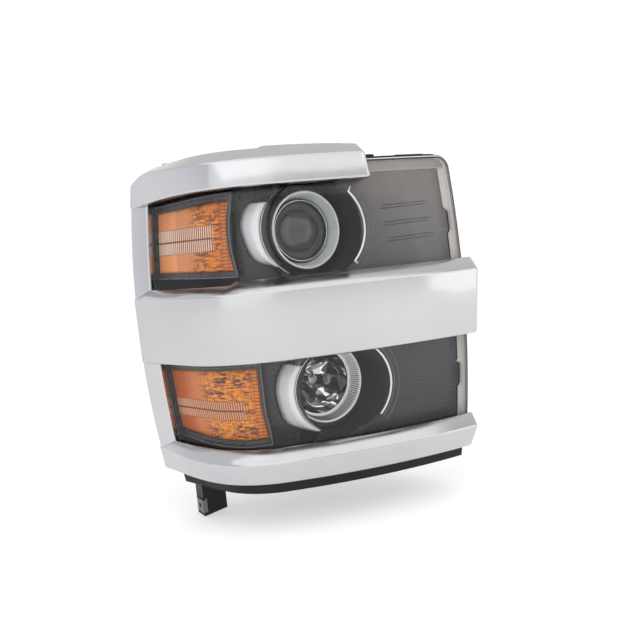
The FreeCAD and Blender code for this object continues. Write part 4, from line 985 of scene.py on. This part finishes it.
def frame_loops(unit, nominal, widths):
    """The frame's inner and outer edge. widths are its inboard, upper, lower and outboard ones."""
    inboard_w, upper_w, lower_w, outboard_w = widths
    loop = []
    for u in steps(0.0, 1.0, 1 / 40)[:-1]:
        lo = amber_heights(unit, lerp(nominal, AMBER_END, u))[0]
        loop.append((lerp(amber_start(unit, lo), AMBER_END, u), lo, u * 2 - 1, -1.0))
    lo, hi = amber_heights(unit, AMBER_END)
    loop += [(AMBER_END, lerp(lo, hi, v), 1.0, v * 2 - 1) for v in steps(0.0, 1.0, 1 / 20)[:-1]]
    for u in steps(1.0, 0.0, 1 / 40)[:-1]:
        hi = amber_heights(unit, lerp(nominal, AMBER_END, u))[1]
        loop.append((lerp(amber_start(unit, hi), AMBER_END, u), hi, u * 2 - 1, 1.0))
    lo, hi = amber_heights(unit, nominal)
    for v in steps(1.0, 0.0, 1 / 24)[:-1]:
        z = lerp(lo, hi, v)
        loop.append((amber_start(unit, z), z, -1.0, v * 2 - 1))
    outer = []
    for s, z, across, up in loop:
        grow_s = outboard_w * smooth((across - 0.9) / 0.1) - inboard_w * smooth((-across - 0.9) / 0.1)
        grow_z = upper_w * smooth((up - 0.8) / 0.2) - lower_w * smooth((-up - 0.8) / 0.2)
        outer.append((s + grow_s, z + grow_z))
    return [(s, z) for s, z, _, _ in loop], outer


def make_turn(unit, nominal, band, material, widths):
    front_piece(unit + "_amber", amber_sheet(unit, nominal, band), material, "amber_plastic", wall=1.0,
                sharp=80, replaces=(unit + "_amber_lens", unit + "_reflex_strip"))
    inner, outer = frame_loops(unit, nominal, widths)

    def between(t, d):
        return [front(lerp(a[0], b[0], t), lerp(a[1], b[1], t), d) for a, b in zip(inner, outer)]

    rows = [between(t, d) for t, d in (
        (0.0, AMBER_D - 3.0), (0.0, AMBER_D + 0.2), (0.12, FRAME_D - 0.5), (0.3, FRAME_D), (0.9, FRAME_D),
        (1.0, FRAME_D - 0.8), (1.0, FRAME_D - 4.5))]
    make_piece(unit + "_frame", rows, FRAME, "bezel_grey", closed=True, replaces=(unit + "_turn_frame",),
               sharp=40)
    # Painted highlight: a lighter grey bead near the frame's outer edge stands in for the edge's highlight.
    bead = between(0.93, FRAME_D)
    tube_along(unit + "_frame_highlight_bead", bead + bead[:2], 0.7, BEAD, "bezel_grey", sides=8)


make_trim()
make_clear_lens()
make_panels()
make_side_floor()
make_panel_ribs()
make_flange()
make_shrouds()
make_rims("low", LOW_MOUTH, LOW_SHROUD_R, (-44.0, 41.0), ("low_accent_arc",))
make_rims("high", HIGH_MOUTH, HIGH_SHROUD_R, (-42.0, 62.0), ("high_accent_arc",))
make_crescent("low_bright_crescent", LOW_MOUTH, 58.6, (35.0, -42.0), LOW_PLATE, ("low_crescent",))
make_crescent("high_bright_crescent", HIGH_MOUTH, 57.0, (35.0, -56.0), HIGH_PLATE, ("high_crescent",))
make_projector()
make_high_beam()
make_turn("upper", 287.0, UPPER_BAND, UPPER_AMBER, (4.2, 8.0, 7.0, 5.0))
make_turn("lower", 266.0, LOWER_BAND, LOWER_AMBER, (4.6, 5.0, 8.0, 5.0))


# -------- floor, light and camera

def area_light(name, place, target, size, power, colour=(1.0, 1.0, 1.0)):
    data = bpy.data.lights.new(name, "AREA")
    data.shape = "RECTANGLE"
    data.size, data.size_y = size
    data.energy = power
    data.color = colour
    obj = new_object(name, data)
    obj.location = row(place)
    obj.rotation_euler = (row(target) - row(place)).to_track_quat("-Z", "Y").to_euler()


def make_floor():
    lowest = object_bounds()[0].z
    mesh = bpy.data.meshes.new("floor")
    mesh.from_pydata([(x, y, lowest) for x, y in ((-6, -6), (6, -6), (6, 6), (-6, 6))], [], [(0, 1, 2, 3)])
    obj = new_object("floor", mesh)
    net = Net("pale_floor")
    net.set(Base_Color=net.mix(net.noise(3.0), (0.7, 0.7, 0.7), (0.74, 0.74, 0.74)), Roughness=0.9,
            Emission_Color=(1.0, 1.0, 1.0), Emission_Strength=0.42)
    mesh.materials.append(net.material)


def make_world():
    """White behind the lamp, and a little darker in front of it, so that the plating keeps its tone."""
    world = bpy.data.worlds.new("studio")
    world.use_nodes = True
    tree = world.node_tree
    back = tree.nodes["Background"]
    place = tree.nodes.new("ShaderNodeTexCoord").outputs["Generated"]
    split = tree.nodes.new("ShaderNodeSeparateXYZ")
    tree.links.new(place, split.inputs[0])

    def ranged(value, limits, blend):
        node = tree.nodes.new("ShaderNodeMapRange")
        node.interpolation_type = blend
        for key, limit in zip((1, 2, 3, 4), limits):
            node.inputs[key].default_value = limit
        tree.links.new(value, node.inputs[0])
        return node.outputs[0]

    product = tree.nodes.new("ShaderNodeMath")
    product.operation = "MULTIPLY"
    tree.links.new(ranged(split.outputs[1], (-0.5, 0.3, 0.9, 1.1), "SMOOTHSTEP"), product.inputs[0])
    tree.links.new(ranged(split.outputs[2], (0.15, 0.75, 1.0, 0.8), "SMOOTHSTEP"), product.inputs[1])
    tree.links.new(product.outputs[0], back.inputs["Strength"])
    tint = tree.nodes.new("ShaderNodeValToRGB")
    tint.color_ramp.elements[0].color = (0.95, 0.965, 1.0, 1.0)
    tint.color_ramp.elements[1].color = (1.0, 0.995, 0.98, 1.0)
    tree.links.new(ranged(split.outputs[0], (-0.95, 0.05, 0.0, 1.0), "LINEAR"), tint.inputs[0])
    tree.links.new(tint.outputs[0], back.inputs["Color"])
    bpy.context.scene.world = world


CAMERA_AZIMUTH, CAMERA_ELEVATION, CAMERA_ROLL = (math.radians(v) for v in (-30.66, 6.02, 5.43))
CAMERA_DISTANCE, CAMERA_LENS = 810.3, 40.88
CAMERA_TARGET = Vector((-13.38, 0.0, 10.7))


def make_camera():
    a, e, r = CAMERA_AZIMUTH, CAMERA_ELEVATION, CAMERA_ROLL
    back = Vector((math.sin(a) * math.cos(e), -math.cos(a) * math.cos(e), math.sin(e)))
    level = Vector((math.cos(a), math.sin(a), 0.0))
    above = back.cross(level)
    right = level * math.cos(r) - above * math.sin(r)
    up = level * math.sin(r) + above * math.cos(r)
    data = bpy.data.cameras.new("camera")
    data.sensor_width, data.lens = 36.0, CAMERA_LENS
    data.clip_start, data.clip_end = 0.01, 50.0
    camera = new_object("camera", data)
    turn = Matrix((right, up, back)).transposed().to_4x4()
    camera.matrix_world = Matrix.Translation(row(CAMERA_TARGET + back * CAMERA_DISTANCE)) @ turn
    bpy.context.scene.camera = camera


make_floor()
make_world()
make_camera()
area_light("top_softbox", (-150, -500, 900), (0, 0, 40), (2.0, 1.4), 5.0)
area_light("left_softbox", (-900, -900, 420), (-60, 0, 20), (1.4, 1.6), 2.2)
area_light("right_softbox", (900, -900, 250), (60, 0, 0), (0.7, 1.2), 1.6, (1.0, 0.97, 0.94))
bpy.context.scene.view_settings.view_transform = "Standard"
